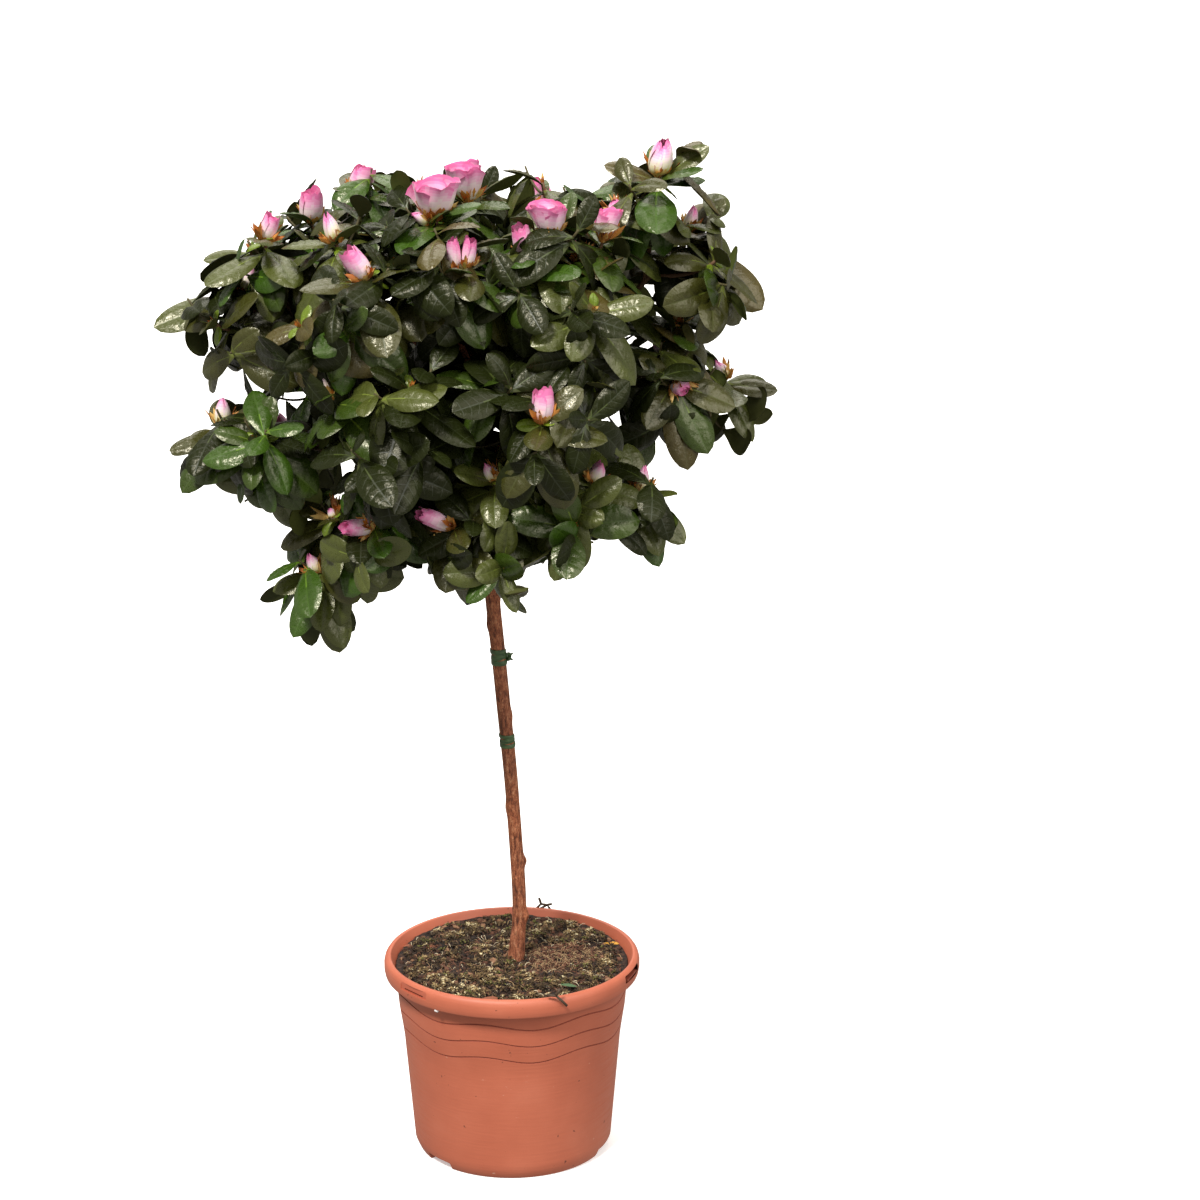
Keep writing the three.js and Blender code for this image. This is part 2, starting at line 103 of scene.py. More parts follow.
STEM = {
    "line": [
        (2.6, 10.0, 134.0), (5.8, 9.5, 182.0), (0.5, 8.0, 280.0), (-7.3, 6.5, 372.0), (-14.0, 5.0, 452.0),
        (-20.0, 3.0, 606.0),
    ],
    "flare_radius": 7.0,
    "flare_height": 34.0,
    "radius": 5.1,
    "head_radius": 5.5,
    "tip_radius": 3.4,
    "head_height": 440.0,
    "swell_height": 350.0,
    "lowest_bough": 458.0,
    "highest_bough": 598.0,
}
KNOTS = [  # height, bearing in degrees, how far it stands out, and its half height
    (219.0, 5, 2.1, 4.0), (176.0, 350, 2.4, 4.5), (262.0, 190, 0.9, 5.0), (333.0, 20, 0.9, 5.0),
    (404.0, 200, 1.2, 5.0), (158.0, 215, 1.5, 6.0), (291.0, 280, 0.8, 4.0), (424.0, 330, 1.1, 4.0),
]
TIES = [("tie_upper", 372.5, 384.5, True), ("tie_lower", 309.0, 319.0, False)]
TIE = {"thickness": 0.9, "knot_bearing": 350, "wraps": 3}

BOUGH = {"foot_share": 0.62, "tip_radius": 2.2, "neck": 8.0, "bend_share": 0.45, "lift": 0.2}
CROWN = {"axis": (-20.0, 0.0), "heart": np.array([-15.0, 5.0, 520.0]), "top_from": 640, "middle_from": 545}
MASSES = [  # name, bearing in degrees, reach, height, shoots and the turn of the first shoot
    ("right_peak", -11, 126, 668, 3, 55),
    ("top_right", -8, 60, 688, 3, 61),
    ("front_right_top", -57, 100, 650, 3, 24),
    ("front_top", -109, 78, 665, 3, 84),
    ("front_left_top", -133, 119, 648, 3, 47),
    ("left_top", -171, 135, 636, 4, 45),
    ("top_centre", 155, 42, 674, 3, 110),
    ("back_left_top", 137, 124, 650, 3, 20),
    ("back_top", 96, 100, 655, 3, 75),
    ("back_right_top", 47, 103, 650, 3, 40),
    ("left_side", -158, 140, 550, 3, 61),
    ("front_right_side", -74, 107, 578, 3, 152),
    ("front_left_side", -116, 122, 575, 3, 15),
    ("front_low", -91, 92, 516, 3, 113),
    ("left_low", -138, 106, 500, 3, 55),
    ("right_low", -52, 100, 525, 3, 74),
    ("right_side", -2, 122, 585, 3, 112),
    ("back_side", 95, 115, 585, 3, 30),
    ("back_left_low", 142, 113, 540, 3, 0),
    ("back_right_low", 48, 103, 538, 3, 90),
]
SHOOT = {
    "length": 50, "fan": 42, "spread": 0.15, "turn_spread": 24, "stem": 27, "root_shares": (0.5, 0.85),
    "rise": 0.75, "spare": 5, "leafy": 21, "radius": 1.7, "tip_radius": 1.3,
}
CLEARANCE = 0.3
SPRIG = {  # the finer twigs of a shoot
    "shares": (0.3, 0.55, 0.8), "length": (24, 40), "lean": 62, "radius": 1.1, "tip_radius": 0.8, "leaves": 5,
    "size": 0.86, "fewest": 2, "rise": 0.55, "shortest": 12, "inner_rise": 0.4,
    "inner_shares": (0.3, 0.52, 0.74, 0.95), "stem_sprigs": 9, "stem_length": (30, 48),
}
WHORL = {
    "leaves": 8, "longest": 60, "shortest": 45, "inner_size": 0.62, "divergence": 137.5, "sway": 16,
    "inner_tilt": 42, "outer_tilt": 100, "tilt_spread": 12, "sag": (0.25, 0.85), "nearest": 2, "furthest": 15,
    "tries": 9, "room": 9, "sight": 75, "overhang": 4,
}
LEAF_SLIMNESS = 0.49

FLOWERS = {"share": 0.6, "kinds": ("slim", "slim", "plump", "frilled", "open"), "radius": (4.6, 7.0)}

# Buds that the photograph shows: the pixels of foot and tip, the kind, and the radius.
SEEN_FLOWERS = [
    (658, 175, 664, 140, "plump", 8.0),
    (688, 233, 695, 206, "slim", 5.0),
    (618, 214, 614, 200, "plump", 5.6),
    (576, 262, 574, 239, "slim", 4.4),
    (552, 234, 545, 203, "open", 11.5),
    (532, 207, 537, 181, "frilled", 6.0),
    (545, 205, 549, 188, "slim", 4.0),
    (436, 217, 434, 181, "open", 15.0),
    (431, 222, 411, 214, "slim", 4.4),
    (468, 200, 462, 164, "open", 12.0),
    (455, 272, 452, 238, "frilled", 4.6),
    (467, 268, 471, 238, "frilled", 4.8),
    (367, 278, 346, 250, "frilled", 7.4),
    (336, 242, 325, 211, "slim", 5.2),
    (357, 193, 367, 165, "frilled", 8.2),
    (311, 222, 311, 190, "frilled", 8.4),
    (265, 240, 273, 215, "frilled", 6.0),
    (243, 292, 252, 264, "slim", 5.2),
    (223, 428, 222, 396, "slim", 5.6),
    (543, 422, 543, 389, "frilled", 7.2),
    (726, 379, 716, 360, "slim", 5.2),
    (669, 360, 653, 341, "slim", 5.0),
    (676, 380, 684, 392, "frilled", 6.6),
    (495, 480, 484, 463, "slim", 4.8),
    (593, 483, 602, 462, "plump", 5.2),
    (639, 493, 644, 466, "slim", 5.4),
    (373, 527, 342, 528, "frilled", 5.8),
    (453, 527, 419, 513, "frilled", 5.8),
    (334, 517, 329, 508, "slim", 3.2),
    (318, 573, 309, 554, "slim", 4.8),
]
# How a shoot is found for such a bud. Where none is within reach, in pixels, a new one grows.
SEEN = {"reach": 34, "distance": 2000, "depth_weight": 0.12, "grown_size": 0.92}
# Leaves that stand out of the crown in the photograph: the pixels of foot and tip.
SEEN_LEAVES = [
    (240, 300, 151, 319), (226, 436, 168, 446), (262, 262, 203, 256), (232, 440, 178, 490),
    (726, 386, 778, 386), (716, 392, 756, 440), (318, 585, 290, 636), (326, 585, 346, 648),
    (650, 182, 606, 160), (668, 178, 706, 142), (690, 236, 722, 196), (684, 410, 690, 470),
    (700, 404, 712, 452), (384, 545, 382, 588), (506, 556, 518, 612), (548, 528, 552, 580),
    (640, 500, 662, 566), (650, 496, 688, 540), (690, 252, 768, 304), (470, 560, 464, 600),
]

BUD_MARGIN = 3  # pixels round such a bud that leaves keep off where they are nearer to the camera

# Between these pixels down the picture, whorls turn from facing up to facing out.
FACING = {"from": 250, "to": 450, "up": (0.9, 0.3), "out": (0.3, 0.9)}

# The crown's outline in the photograph's pixels. Leaves that would stand far out of it aren't grown.
CROWN_OUTLINE = np.array([
    (150, 318), (205, 288), (200, 266), (240, 258), (262, 214), (300, 186), (352, 164), (378, 168),
    (405, 184), (445, 176), (452, 160), (480, 162), (528, 168), (556, 186), (600, 200), (596, 184),
    (622, 172), (608, 156), (644, 156), (652, 136), (672, 136), (704, 144), (726, 192), (722, 236),
    (768, 308), (722, 334), (712, 356), (778, 384), (758, 444), (724, 448), (700, 424), (690, 476),
    (672, 424), (636, 456), (664, 492), (684, 544), (662, 568), (600, 524), (572, 584), (524, 552),
    (520, 616), (494, 566), (462, 598), (424, 572), (372, 588), (362, 628), (342, 650), (304, 636),
    (254, 596), (300, 560), (278, 538), (326, 522), (274, 512), (266, 474), (250, 510), (226, 466),
    (176, 492), (166, 446), (212, 424), (214, 396), (272, 392), (268, 356), (210, 384), (190, 352),
    (192, 326),
], float)
STRAY = 9  # pixels that a leaf may stand out of the outline
TWIG_STRAY = 2
SKY_POCKETS = np.array([  # open places in the crown: pixels across and down, and the radius
    (293, 406, 9), (613, 420, 10), (688, 397, 7), (646, 288, 5), (497, 431, 6), (351, 433, 6), (346, 468, 7),
    (360, 358, 5), (411, 316, 5), (640, 440, 6), (440, 240, 4),
], float)
POCKET = {"margin": 6, "weight": 2}


# ---------------------------------------------------------------- small helpers


def unit(vector):
    return vector / np.linalg.norm(vector)


def lerp(low, high, share):
    return low + (high - low) * share


def smooth_step(value, low, high):
    share = np.clip((value - low) / (high - low), 0, 1)
    return share * share * (3 - 2 * share)


def angles_round(sides):
    """Evenly spaced angles round a full turn."""
    return np.arange(sides) * FULL_TURN / sides

def seeded(seed):
    """The same run of numbers from 0 to 1 for the same seed, as in the part's source."""
    mask = 0xFFFFFFFF
    state = seed & mask

    def draw():
        nonlocal state
        state = (state + 0x6D2B79F5) & mask
        mixed = ((state ^ (state >> 15)) * (1 | state)) & mask
        mixed = ((mixed + (((mixed ^ (mixed >> 7)) * (61 | mixed)) & mask)) & mask) ^ mixed
        return ((mixed ^ (mixed >> 14)) & mask) / 2**32

    return draw


def at_bearing(radius, bearing, height):
    angle = math.radians(bearing)
    return np.array([radius * math.cos(angle), radius * math.sin(angle), height])


def turned_about(vector, axis, angle):
    """The vector turned about a unit axis by an angle in radians."""
    cos, sin = math.cos(angle), math.sin(angle)
    return vector * cos + np.cross(axis, vector) * sin + axis * (axis @ vector) * (1 - cos)


def beside(axis):
    """A unit vector square to the axis, level where it can be."""
    return np.array([1.0, 0.0, 0.0]) if abs(axis[2]) > 0.95 else unit(np.cross(UP, axis))


def line_of_sight(across, down):
    """The unit vector from the camera through a pixel of the photograph."""
    ray = Vector((across - PICTURE / 2, PICTURE / 2 - down, -FOCAL))
    ray.rotate(CAMERA_TURN)
    return unit(np.array(ray))


def seen_at(across, down, distance):
    """The place that a pixel shows at a distance from the camera."""
    return CAMERA_PLACE + line_of_sight(across, down) * distance

def pixel_of(point):
    """The pixel of the photograph at which the camera sees a point, and the point's distance."""
    seen = Vector(point - CAMERA_PLACE)
    seen.rotate(CAMERA_TURN.to_matrix().inverted())
    across, up, depth = seen.x, seen.y, -seen.z
    return np.array([PICTURE / 2 + FOCAL * across / depth, PICTURE / 2 - FOCAL * up / depth]), seen.length


def pixels_of(points):
    """The pixels at which the camera sees several points."""
    seen = (points - CAMERA_PLACE) @ np.array(CAMERA_TURN.to_matrix())
    return PICTURE / 2 + FOCAL * np.stack([seen[:, 0], -seen[:, 1]], -1) / -seen[:, 2:]


def astray(points):
    """How many pixels the furthest of the points stands out of the crown's outline."""
    pixels = pixels_of(points)[:, None]
    start = CROWN_OUTLINE[None]
    end = np.roll(CROWN_OUTLINE, -1, axis=0)[None]
    side = end - start
    share = np.clip(((pixels - start) * side).sum(-1) / (side**2).sum(-1), 0, 1)
    distance = np.linalg.norm(start + share[..., None] * side - pixels, axis=-1).min(axis=1)
    spans = (start[..., 1] > pixels[..., 1]) != (end[..., 1] > pixels[..., 1])
    rise = np.where(side[..., 1] == 0, 1, side[..., 1])
    crossing = start[..., 0] + (pixels[..., 1] - start[..., 1]) * side[..., 0] / rise
    inside = (spans & (pixels[..., 0] < crossing)).sum(axis=1) % 2 == 1
    from_pockets = np.linalg.norm(pixels - SKY_POCKETS[None, :, :2], axis=-1)
    depth = SKY_POCKETS[:, 2] + POCKET["margin"] - from_pockets
    into_pocket = POCKET["weight"] * np.maximum(depth, 0).max(axis=1)
    return np.where(inside, into_pocket, distance).max()


def drawn_in(shoot):
    """Draws a shoot's tip back towards its root until it stands within the crown's outline."""
    for _ in range(8):
        if astray(shoot.tip[None]) <= TWIG_STRAY:
            break
        shoot.tip = lerp(shoot.tip, shoot.root, 0.12)


def grid_faces(rows, columns, closed=False):
    """The quads of a grid of points, row by row. A closed grid joins its last column to its first."""
    quads = columns if closed else columns - 1
    row, column = np.meshgrid(np.arange(rows - 1), np.arange(quads), indexing="ij")
    here = row * columns + column
    right = row * columns + (column + 1) % columns
    return np.stack([here, right, right + columns, here + columns], -1).reshape(-1, 4)


class Pile:
    """Faces gathered for one mesh, each with the number of its material."""

    def __init__(self):
        self.points, self.faces, self.paints = [], [], []
        self.count = 0

    def add(self, points, faces, paint=0, more_faces=()):
        """Points with their faces. more_faces are arrays of other faces over the same points."""
        points = np.asarray(points, float).reshape(-1, 3)
        self.points.append(points)
        for array, colour in [(faces, paint), *((array, paint) for array in more_faces)]:
            array = np.asarray(array, int)
            self.faces.append(array + self.count)
            self.paints.append(np.broadcast_to(colour, len(array)))
        self.count += len(points)

    def piece(self, name, materials, slot, replaces=()):
        """One object of all that was added, on the frame's root and in the CAD nodes' stead."""
        mesh = bpy.data.meshes.new(name)
        points = np.concatenate(self.points) * MM
        mesh.vertices.add(len(points))
        mesh.vertices.foreach_set("co", points.astype(np.float32).ravel())
        sides = np.concatenate([np.full(len(faces), faces.shape[1]) for faces in self.faces])
        corners = np.concatenate([faces.ravel() for faces in self.faces])
        mesh.loops.add(len(corners))
        mesh.loops.foreach_set("vertex_index", corners.astype(np.int32))
        mesh.polygons.add(len(sides))
        mesh.polygons.foreach_set("loop_start", (np.cumsum(sides) - sides).astype(np.int32))
        mesh.polygons.foreach_set("material_index", np.concatenate(self.paints).astype(np.int32))
        mesh.polygons.foreach_set("use_smooth", np.ones(len(sides), bool))
        for material in materials:
            mesh.materials.append(material)
        mesh.update(calc_edges=True)
        made = bpy.data.objects.new(name, mesh)
        bpy.context.collection.objects.link(made)
        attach(made, "root")
        if replaces:
            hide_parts(*replaces)
        return made


def tube(line, radii, sides, relief=None):
    """Points and quads of a round limb along a line. relief(angles, way) is added to the radius."""
    line = np.asarray(line, float)
    ways = np.gradient(line, axis=0)
    ways /= np.linalg.norm(ways, axis=1)[:, None]
    side = beside(ways[0])
    angles = angles_round(sides)
    along = np.concatenate([[0], np.cumsum(np.linalg.norm(np.diff(line, axis=0), axis=1))])
    rings = []
    for centre, way, radius, distance in zip(line, ways, radii, along):
        side = unit(side - way * (side @ way))
        other = np.cross(way, side)
        reach = radius + (relief(angles, distance) if relief else 0) * np.ones(sides)
        ring = centre + reach[:, None] * (np.outer(np.cos(angles), side) + np.outer(np.sin(angles), other))
        rings.append(ring)
    return np.concatenate(rings), grid_faces(len(line), sides, closed=True)


def cap(count, first, last, sides):
    """Triangles that close a tube's two ends at the points numbered first and last."""
    ring = np.arange(sides)
    after = (ring + 1) % sides
    end = count - sides
    low = np.stack([after, ring, np.full(sides, first)], -1)
    high = np.stack([end + ring, end + after, np.full(sides, last)], -1)
    return np.concatenate([low, high])


def add_limb(pile, line, radii, sides, paint=0, relief=None):
    """A tube with both ends closed."""
    points, faces = tube(line, radii, sides, relief)
    ends = cap(len(points), len(points), len(points) + 1, sides)
    pile.add(np.concatenate([points, [line[0], line[-1]]]), faces, paint, [ends])


def curve_through(start, bend, end, steps):
    """A quadratic curve from start to end that leans to the bend between them."""
    share = np.linspace(0, 1, steps)[:, None]
    return (1 - share) ** 2 * start + 2 * share * (1 - share) * bend + share**2 * end


# ---------------------------------------------------------------- materials


def new_material(name, colour, roughness):
    """A material, its node tree and its shader."""
    material = bpy.data.materials.new(name)
    material.use_nodes = True
    shader = material.node_tree.nodes["Principled BSDF"]
    shader.inputs["Base Color"].default_value = (*colour, 1)
    shader.inputs["Roughness"].default_value = roughness
    return material, material.node_tree, shader


def noise_node(tree, scale, detail, stretch=(1, 1, 1)):
    """A noise texture in the object's own metres, drawn out along the axes by stretch."""
    coordinates = tree.nodes.new("ShaderNodeTexCoord")
    mapping = tree.nodes.new("ShaderNodeMapping")
    mapping.inputs["Scale"].default_value = stretch
    noise = tree.nodes.new("ShaderNodeTexNoise")
    noise.inputs["Scale"].default_value = scale
    noise.inputs["Detail"].default_value = detail
    tree.links.new(coordinates.outputs["Object"], mapping.inputs["Vector"])
    tree.links.new(mapping.outputs["Vector"], noise.inputs["Vector"])
    return noise


def ramp_node(tree, noise, stops):
    """The colours of a ramp over a noise. stops are pairs of a place and a colour."""
    ramp = tree.nodes.new("ShaderNodeValToRGB")
    for element, (place, colour) in zip(ramp.color_ramp.elements, (stops[0], stops[-1])):
        element.position = place
        element.color = (*colour, 1)
    for place, colour in stops[1:-1]:
        ramp.color_ramp.elements.new(place).color = (*colour, 1)
    tree.links.new(noise.outputs["Fac"], ramp.inputs["Fac"])
    return ramp.outputs["Color"]

def vary_gloss(tree, shader, noise, low, high):
    """A roughness that a noise takes from low to high."""
    spread = tree.nodes.new("ShaderNodeMapRange")
    for socket, value in zip(("From Min", "From Max", "To Min", "To Max"), (0.3, 0.7, low, high)):
        spread.inputs[socket].default_value = value
    tree.links.new(noise.outputs["Fac"], spread.inputs["Value"])
    tree.links.new(spread.outputs["Result"], shader.inputs["Roughness"])

def mix_node(tree, below, blend):
    """A mix of colours whose lower one is given."""
    mix = tree.nodes.new("ShaderNodeMix")
    mix.data_type = "RGBA"
    mix.blend_type = blend
    tree.links.new(below, mix.inputs[6])
    return mix

def laid_over(tree, share, below, over):
    """A plain colour laid over another where a value is high."""
    mix = mix_node(tree, below, "MIX")
    tree.links.new(share, mix.inputs["Factor"])
    mix.inputs[7].default_value = (*over, 1)
    return mix.outputs[2]

def multiplied(tree, below, over):
    """A colour multiplied by another."""
    mix = mix_node(tree, below, "MULTIPLY")
    mix.inputs["Factor"].default_value = 1
    tree.links.new(over, mix.inputs[7])
    return mix.outputs[2]

def add_bump(tree, shader, noise, height):
    """Relief of a height in millimetres by a noise, over what relief the shader already has."""
    bump = tree.nodes.new("ShaderNodeBump")
    bump.inputs["Strength"].default_value = 1
    bump.inputs["Distance"].default_value = height * MM
    if shader.inputs["Normal"].is_linked:
        tree.links.new(shader.inputs["Normal"].links[0].from_socket, bump.inputs["Normal"])
    tree.links.new(noise.outputs["Fac"], bump.inputs["Height"])
    tree.links.new(bump.outputs["Normal"], shader.inputs["Normal"])

def plain_material(name, colour, roughness, spread=0.06, grain=600, relief=0.1, **shader_values):
    """A plain base colour, with fine relief and a gloss that varies."""
    material, tree, shader = new_material(name, colour, roughness)
    noise = noise_node(tree, grain, 3)
    vary_gloss(tree, shader, noise, roughness - spread, roughness + spread)
    add_bump(tree, shader, noise, relief)
    for socket, value in shader_values.items():
        shader.inputs[socket.replace("_", " ")].default_value = value
    return material

def materials_of(kind, colours, roughness, spread=0.05, grain=900, relief=0.3, **shader_values):
    """A plain material for each colour of a kind."""
    return [
        plain_material(f"{kind} {rank}", colour, roughness, spread, grain, relief, **shader_values)
        for rank, colour in enumerate(colours)
    ]

def pot_material():
    """Moulded plastic, a little mottled and dusty, with fine scratches round it."""
    material, tree, shader = new_material("moulded terracotta plastic", (0.5, 0.14, 0.08), 0.5)
    mottle = [(0.3, (0.46, 0.118, 0.063)), (0.55, (0.51, 0.137, 0.075)), (0.75, (0.55, 0.16, 0.092))]
    colour = ramp_node(tree, noise_node(tree, 22, 5), mottle)
    specks = ramp_node(tree, noise_node(tree, 260, 2), [(0.74, (0, 0, 0)), (0.77, (1, 1, 1))])
    colour = laid_over(tree, specks, colour, (0.16, 0.05, 0.03))
    scuffs = noise_node(tree, 120, 3, (1, 1, 2.4))
    rubbed = ramp_node(tree, scuffs, [(0.73, (0, 0, 0)), (0.79, (0.6, 0.6, 0.6))])
    colour = laid_over(tree, rubbed, colour, (0.70, 0.42, 0.32))
    tree.links.new(colour, shader.inputs["Base Color"])
    scratches = noise_node(tree, 40, 6, (1, 1, 14))
    vary_gloss(tree, shader, scratches, 0.42, 0.58)
    add_bump(tree, shader, scratches, 0.12)
    add_bump(tree, shader, noise_node(tree, 2500, 2), 0.03)
    return material

def painted_shade_pot_material():
    """The same plastic, darker: painted shade for the bottoms of the grooves and the label slits."""
    return plain_material("terracotta plastic with painted shade", (0.30, 0.07, 0.04), 0.6)

def painted_shade_panel_material():
    """The plastic of the rim's flat panels, painted a little darker than the rest as painted shade."""
    return plain_material("panel plastic with painted shade", (0.46, 0.115, 0.065), 0.5, 0.08, 300, 0.1)

def bark_material():
    """Reddish-brown bark, drawn out lengthwise, with grey-brown ridges, dark fissures and flakes."""
    material, tree, shader = new_material("azalea bark", (0.3, 0.1, 0.05), 0.75)
    streaks = noise_node(tree, 520, 8, (1, 1, 0.3))
    colour = ramp_node(tree, streaks, [
        (0.3, (0.09, 0.03, 0.014)), (0.43, (0.27, 0.09, 0.04)),
        (0.57, (0.42, 0.165, 0.08)), (0.74, (0.56, 0.30, 0.17)),
    ])
    patches = noise_node(tree, 45, 3, (1, 1, 0.3))
    tint = ramp_node(tree, patches, [(0.35, (0.72, 0.66, 0.66)), (0.65, (1.15, 1.0, 0.9))])
    flakes = noise_node(tree, 1500, 4, (1, 1, 0.5))
    speckle = ramp_node(tree, flakes, [
        (0.36, (0.52, 0.46, 0.44)), (0.52, (1.0, 1.0, 1.0)), (0.68, (1.22, 1.2, 1.2)),
    ])
    colour = multiplied(tree, multiplied(tree, colour, tint), speckle)
    tree.links.new(colour, shader.inputs["Base Color"])
    add_bump(tree, shader, streaks, 1.2)
    add_bump(tree, shader, flakes, 0.35)
    return material

def tape_material():
    """Stretched green tying tape, creased along its length."""
    material, tree, shader = new_material("green tying tape", (0.05, 0.1, 0.035), 0.45)
    creases = noise_node(tree, 260, 4, (0.5, 0.5, 5))
    colour = ramp_node(tree, creases, [(0.3, (0.02, 0.05, 0.018)), (0.7, (0.085, 0.15, 0.055))])
    tree.links.new(colour, shader.inputs["Base Color"])
    add_bump(tree, shader, creases, 0.4)
    return material

def compost_material():
    """Damp dark peat with paler crumbs."""
    material, tree, shader = new_material("potting compost", (0.05, 0.03, 0.015), 0.95)
    crumbs = noise_node(tree, 240, 8)
    colour = ramp_node(tree, crumbs, [
        (0.35, (0.006, 0.003, 0.002)), (0.5, (0.026, 0.012, 0.007)),
        (0.62, (0.06, 0.028, 0.016)), (0.75, (0.12, 0.062, 0.034)),
    ])
    tree.links.new(colour, shader.inputs["Base Color"])
    add_bump(tree, shader, crumbs, 2.5)
    return material

# ---------------------------------------------------------------- the stem's line


def spline(points, steps=60):
    """A centripetal Catmull-Rom curve through the points."""
    points = [np.array(point, float) for point in points]
    points = [2 * points[0] - points[1], *points, 2 * points[-1] - points[-2]]
    line = []
    for before, start, end, after in zip(points, points[1:], points[2:], points[3:]):
        pairs = ((before, start), (start, end), (end, after))
        first, middle, last = (math.sqrt(np.linalg.norm(b - a)) for a, b in pairs)
        way_in = (start - before) / first - (end - before) / (first + middle) + (end - start) / middle
        way_out = (end - start) / middle - (after - start) / (middle + last) + (after - end) / last
        share = np.linspace(0, 1, steps, endpoint=False)[:, None]
        square, cube = share**2, share**3
        line.append(
            (2 * cube - 3 * square + 1) * start
            + (cube - 2 * square + share) * (way_in * middle)
            + (3 * square - 2 * cube) * end
            + (cube - square) * (way_out * middle)
        )
    return np.concatenate([*line, [points[-2]]])


STEM_LINE = spline(STEM["line"])


def stem_at(height):
    """The stem's centre line at a height."""
    return np.array([np.interp(height, STEM_LINE[:, 2], STEM_LINE[:, axis]) for axis in range(3)])


def stem_radius(height):
    if height > STEM["head_height"]:
        top = STEM["line"][-1][2]
        share = (height - STEM["head_height"]) / (top - STEM["head_height"])
        return lerp(STEM["head_radius"], STEM["tip_radius"], share)
    flare = max(0.0, 1 - (height - SOIL["level"]) / STEM["flare_height"])
    swell = smooth_step(height, STEM["swell_height"], STEM["head_height"])
    radius = lerp(STEM["radius"], STEM["head_radius"], swell)
    return radius + (STEM["flare_radius"] - STEM["radius"]) * flare**2


# ---------------------------------------------------------------- how the crown grows


class Mass:
    """One mass of foliage: its centre, the way that leads out of the crown, and its bough."""

    def __init__(self, index, name, bearing, reach, height, shoots, turn):
        self.index, self.name, self.shoots, self.turn = index, name, shoots, turn
        self.centre = at_bearing(reach, bearing, height) + np.array([*CROWN["axis"], 0.0])
        self.outward = unit(self.centre - CROWN["heart"])
        self.entry = self.centre - SHOOT["stem"] * self.outward


masses = [Mass(index, *row) for index, row in enumerate(MASSES)]
for rank, mass in enumerate(sorted(masses, key=lambda mass: mass.centre[2])):
    step = (STEM["highest_bough"] - STEM["lowest_bough"]) / (len(masses) - 1)
    mass.bough_height = STEM["lowest_bough"] + rank * step


def in_own_space(point, mass):
    """True where no other mass's centre is nearer than this one's."""
    own = np.sum((point - mass.centre) ** 2)
    for other in masses:
        if other is mass:
            continue
        between = np.linalg.norm(other.centre - mass.centre)
        if (np.sum((point - other.centre) ** 2) - own) / (2 * between) <= CLEARANCE:
            return False
    return True


def bough_line(mass):
    foot = stem_at(mass.bough_height)
    neck = mass.entry - BOUGH["neck"] * mass.outward
    bend = lerp(foot, neck, BOUGH["bend_share"])
    bend[2] += BOUGH["lift"] * (np.linalg.norm(neck - foot) - abs(neck[2] - foot[2]))
    return np.concatenate([curve_through(foot, bend, neck, 16), [mass.entry]])


class Shoot:
    """A twig that ends in a whorl of leaves, with a flower, a leaf bud or nothing at its tip."""

    def __init__(self, mass, root, tip, axis, size=1.0):
        self.mass, self.root, self.tip, self.axis, self.size = mass, root, tip, axis, size
        self.flower = None

    def line(self, steps=8):
        bend = self.tip - SHOOT["leafy"] * self.axis
        return curve_through(self.root, bend, self.tip, steps)


def shoots_of(mass):
    """The mass's own shoots, fanned about the way out of the crown as in the part's source."""
    draw = seeded(SEED * 1000 + mass.index)
    side = unit(np.cross(mass.outward, UP))
    up = np.cross(side, mass.outward)
    start = mass.entry
    end = mass.centre
    made = []
    for k in range(mass.shoots):
        around = math.radians(mass.turn + 360 * k / mass.shoots + SHOOT["turn_spread"] * (draw() - 0.5))
        fan = math.radians(SHOOT["fan"] * (1 + SHOOT["spread"] * (2 * draw() - 1)))
        length = SHOOT["length"] * (1 + SHOOT["spread"] * (2 * draw() - 1))
        aside = math.cos(around) * side + math.sin(around) * up
        direction = mass.outward * math.cos(fan) + aside * math.sin(fan)
        axis = unit(direction + SHOOT["rise"] * UP)
        tip = mass.centre + direction * length
        while not in_own_space(tip + SHOOT["spare"] * direction, mass):
            tip = tip - SHOOT["spare"] * direction
        root = lerp(start, end, lerp(*SHOOT["root_shares"], k / mass.shoots))
        made.append(Shoot(mass, root, tip, axis))
    return made


def place_seen_flowers(shoots, room):
    """Brings the nearest shoot under each bud that the photograph shows, or grows one from it.

    The room keeps each bud in view.
    """
    taken = set()
    grown = []
    for across, down, tip_across, tip_down, kind, radius in SEEN_FLOWERS:
        pixel = np.array([across, down], float)

        def separation(shoot):
            seen, distance = pixel_of(shoot.tip)
            return np.linalg.norm(seen - pixel) + SEEN["depth_weight"] * (distance - SEEN["distance"])

        shoot = min(shoots, key=separation)
        _, distance = pixel_of(shoot.tip)
        foot = seen_at(across, down, distance)
        end = seen_at(tip_across, tip_down, distance)
        rise = end - foot
        near = np.linalg.norm(pixel_of(shoot.tip)[0] - pixel) < SEEN["reach"]
        if near and id(shoot) not in taken:
            shoot.tip = foot
        else:
            middle = shoot.line()[4]
            axis = unit(shoot.axis + 0.8 * unit(foot - middle))
            shoot = Shoot(shoot.mass, middle, foot, axis, SEEN["grown_size"])
            grown.append(shoot)
        taken.add(id(shoot))
        to_camera = -line_of_sight(across, down)
        facing = np.clip((down - FACING["from"]) / (FACING["to"] - FACING["from"]), 0, 1)
        upright = lerp(*FACING["up"], facing) * UP
        outward = lerp(*FACING["out"], facing) * to_camera
        shoot.axis = unit(0.5 * shoot.axis + upright + outward + 0.3 * unit(rise))
        shoot.flower = (kind, radius, rise + 0.35 * np.linalg.norm(rise) * to_camera)
        room.windows.append((across, down, tip_across, tip_down, radius, distance))
    return shoots + grown


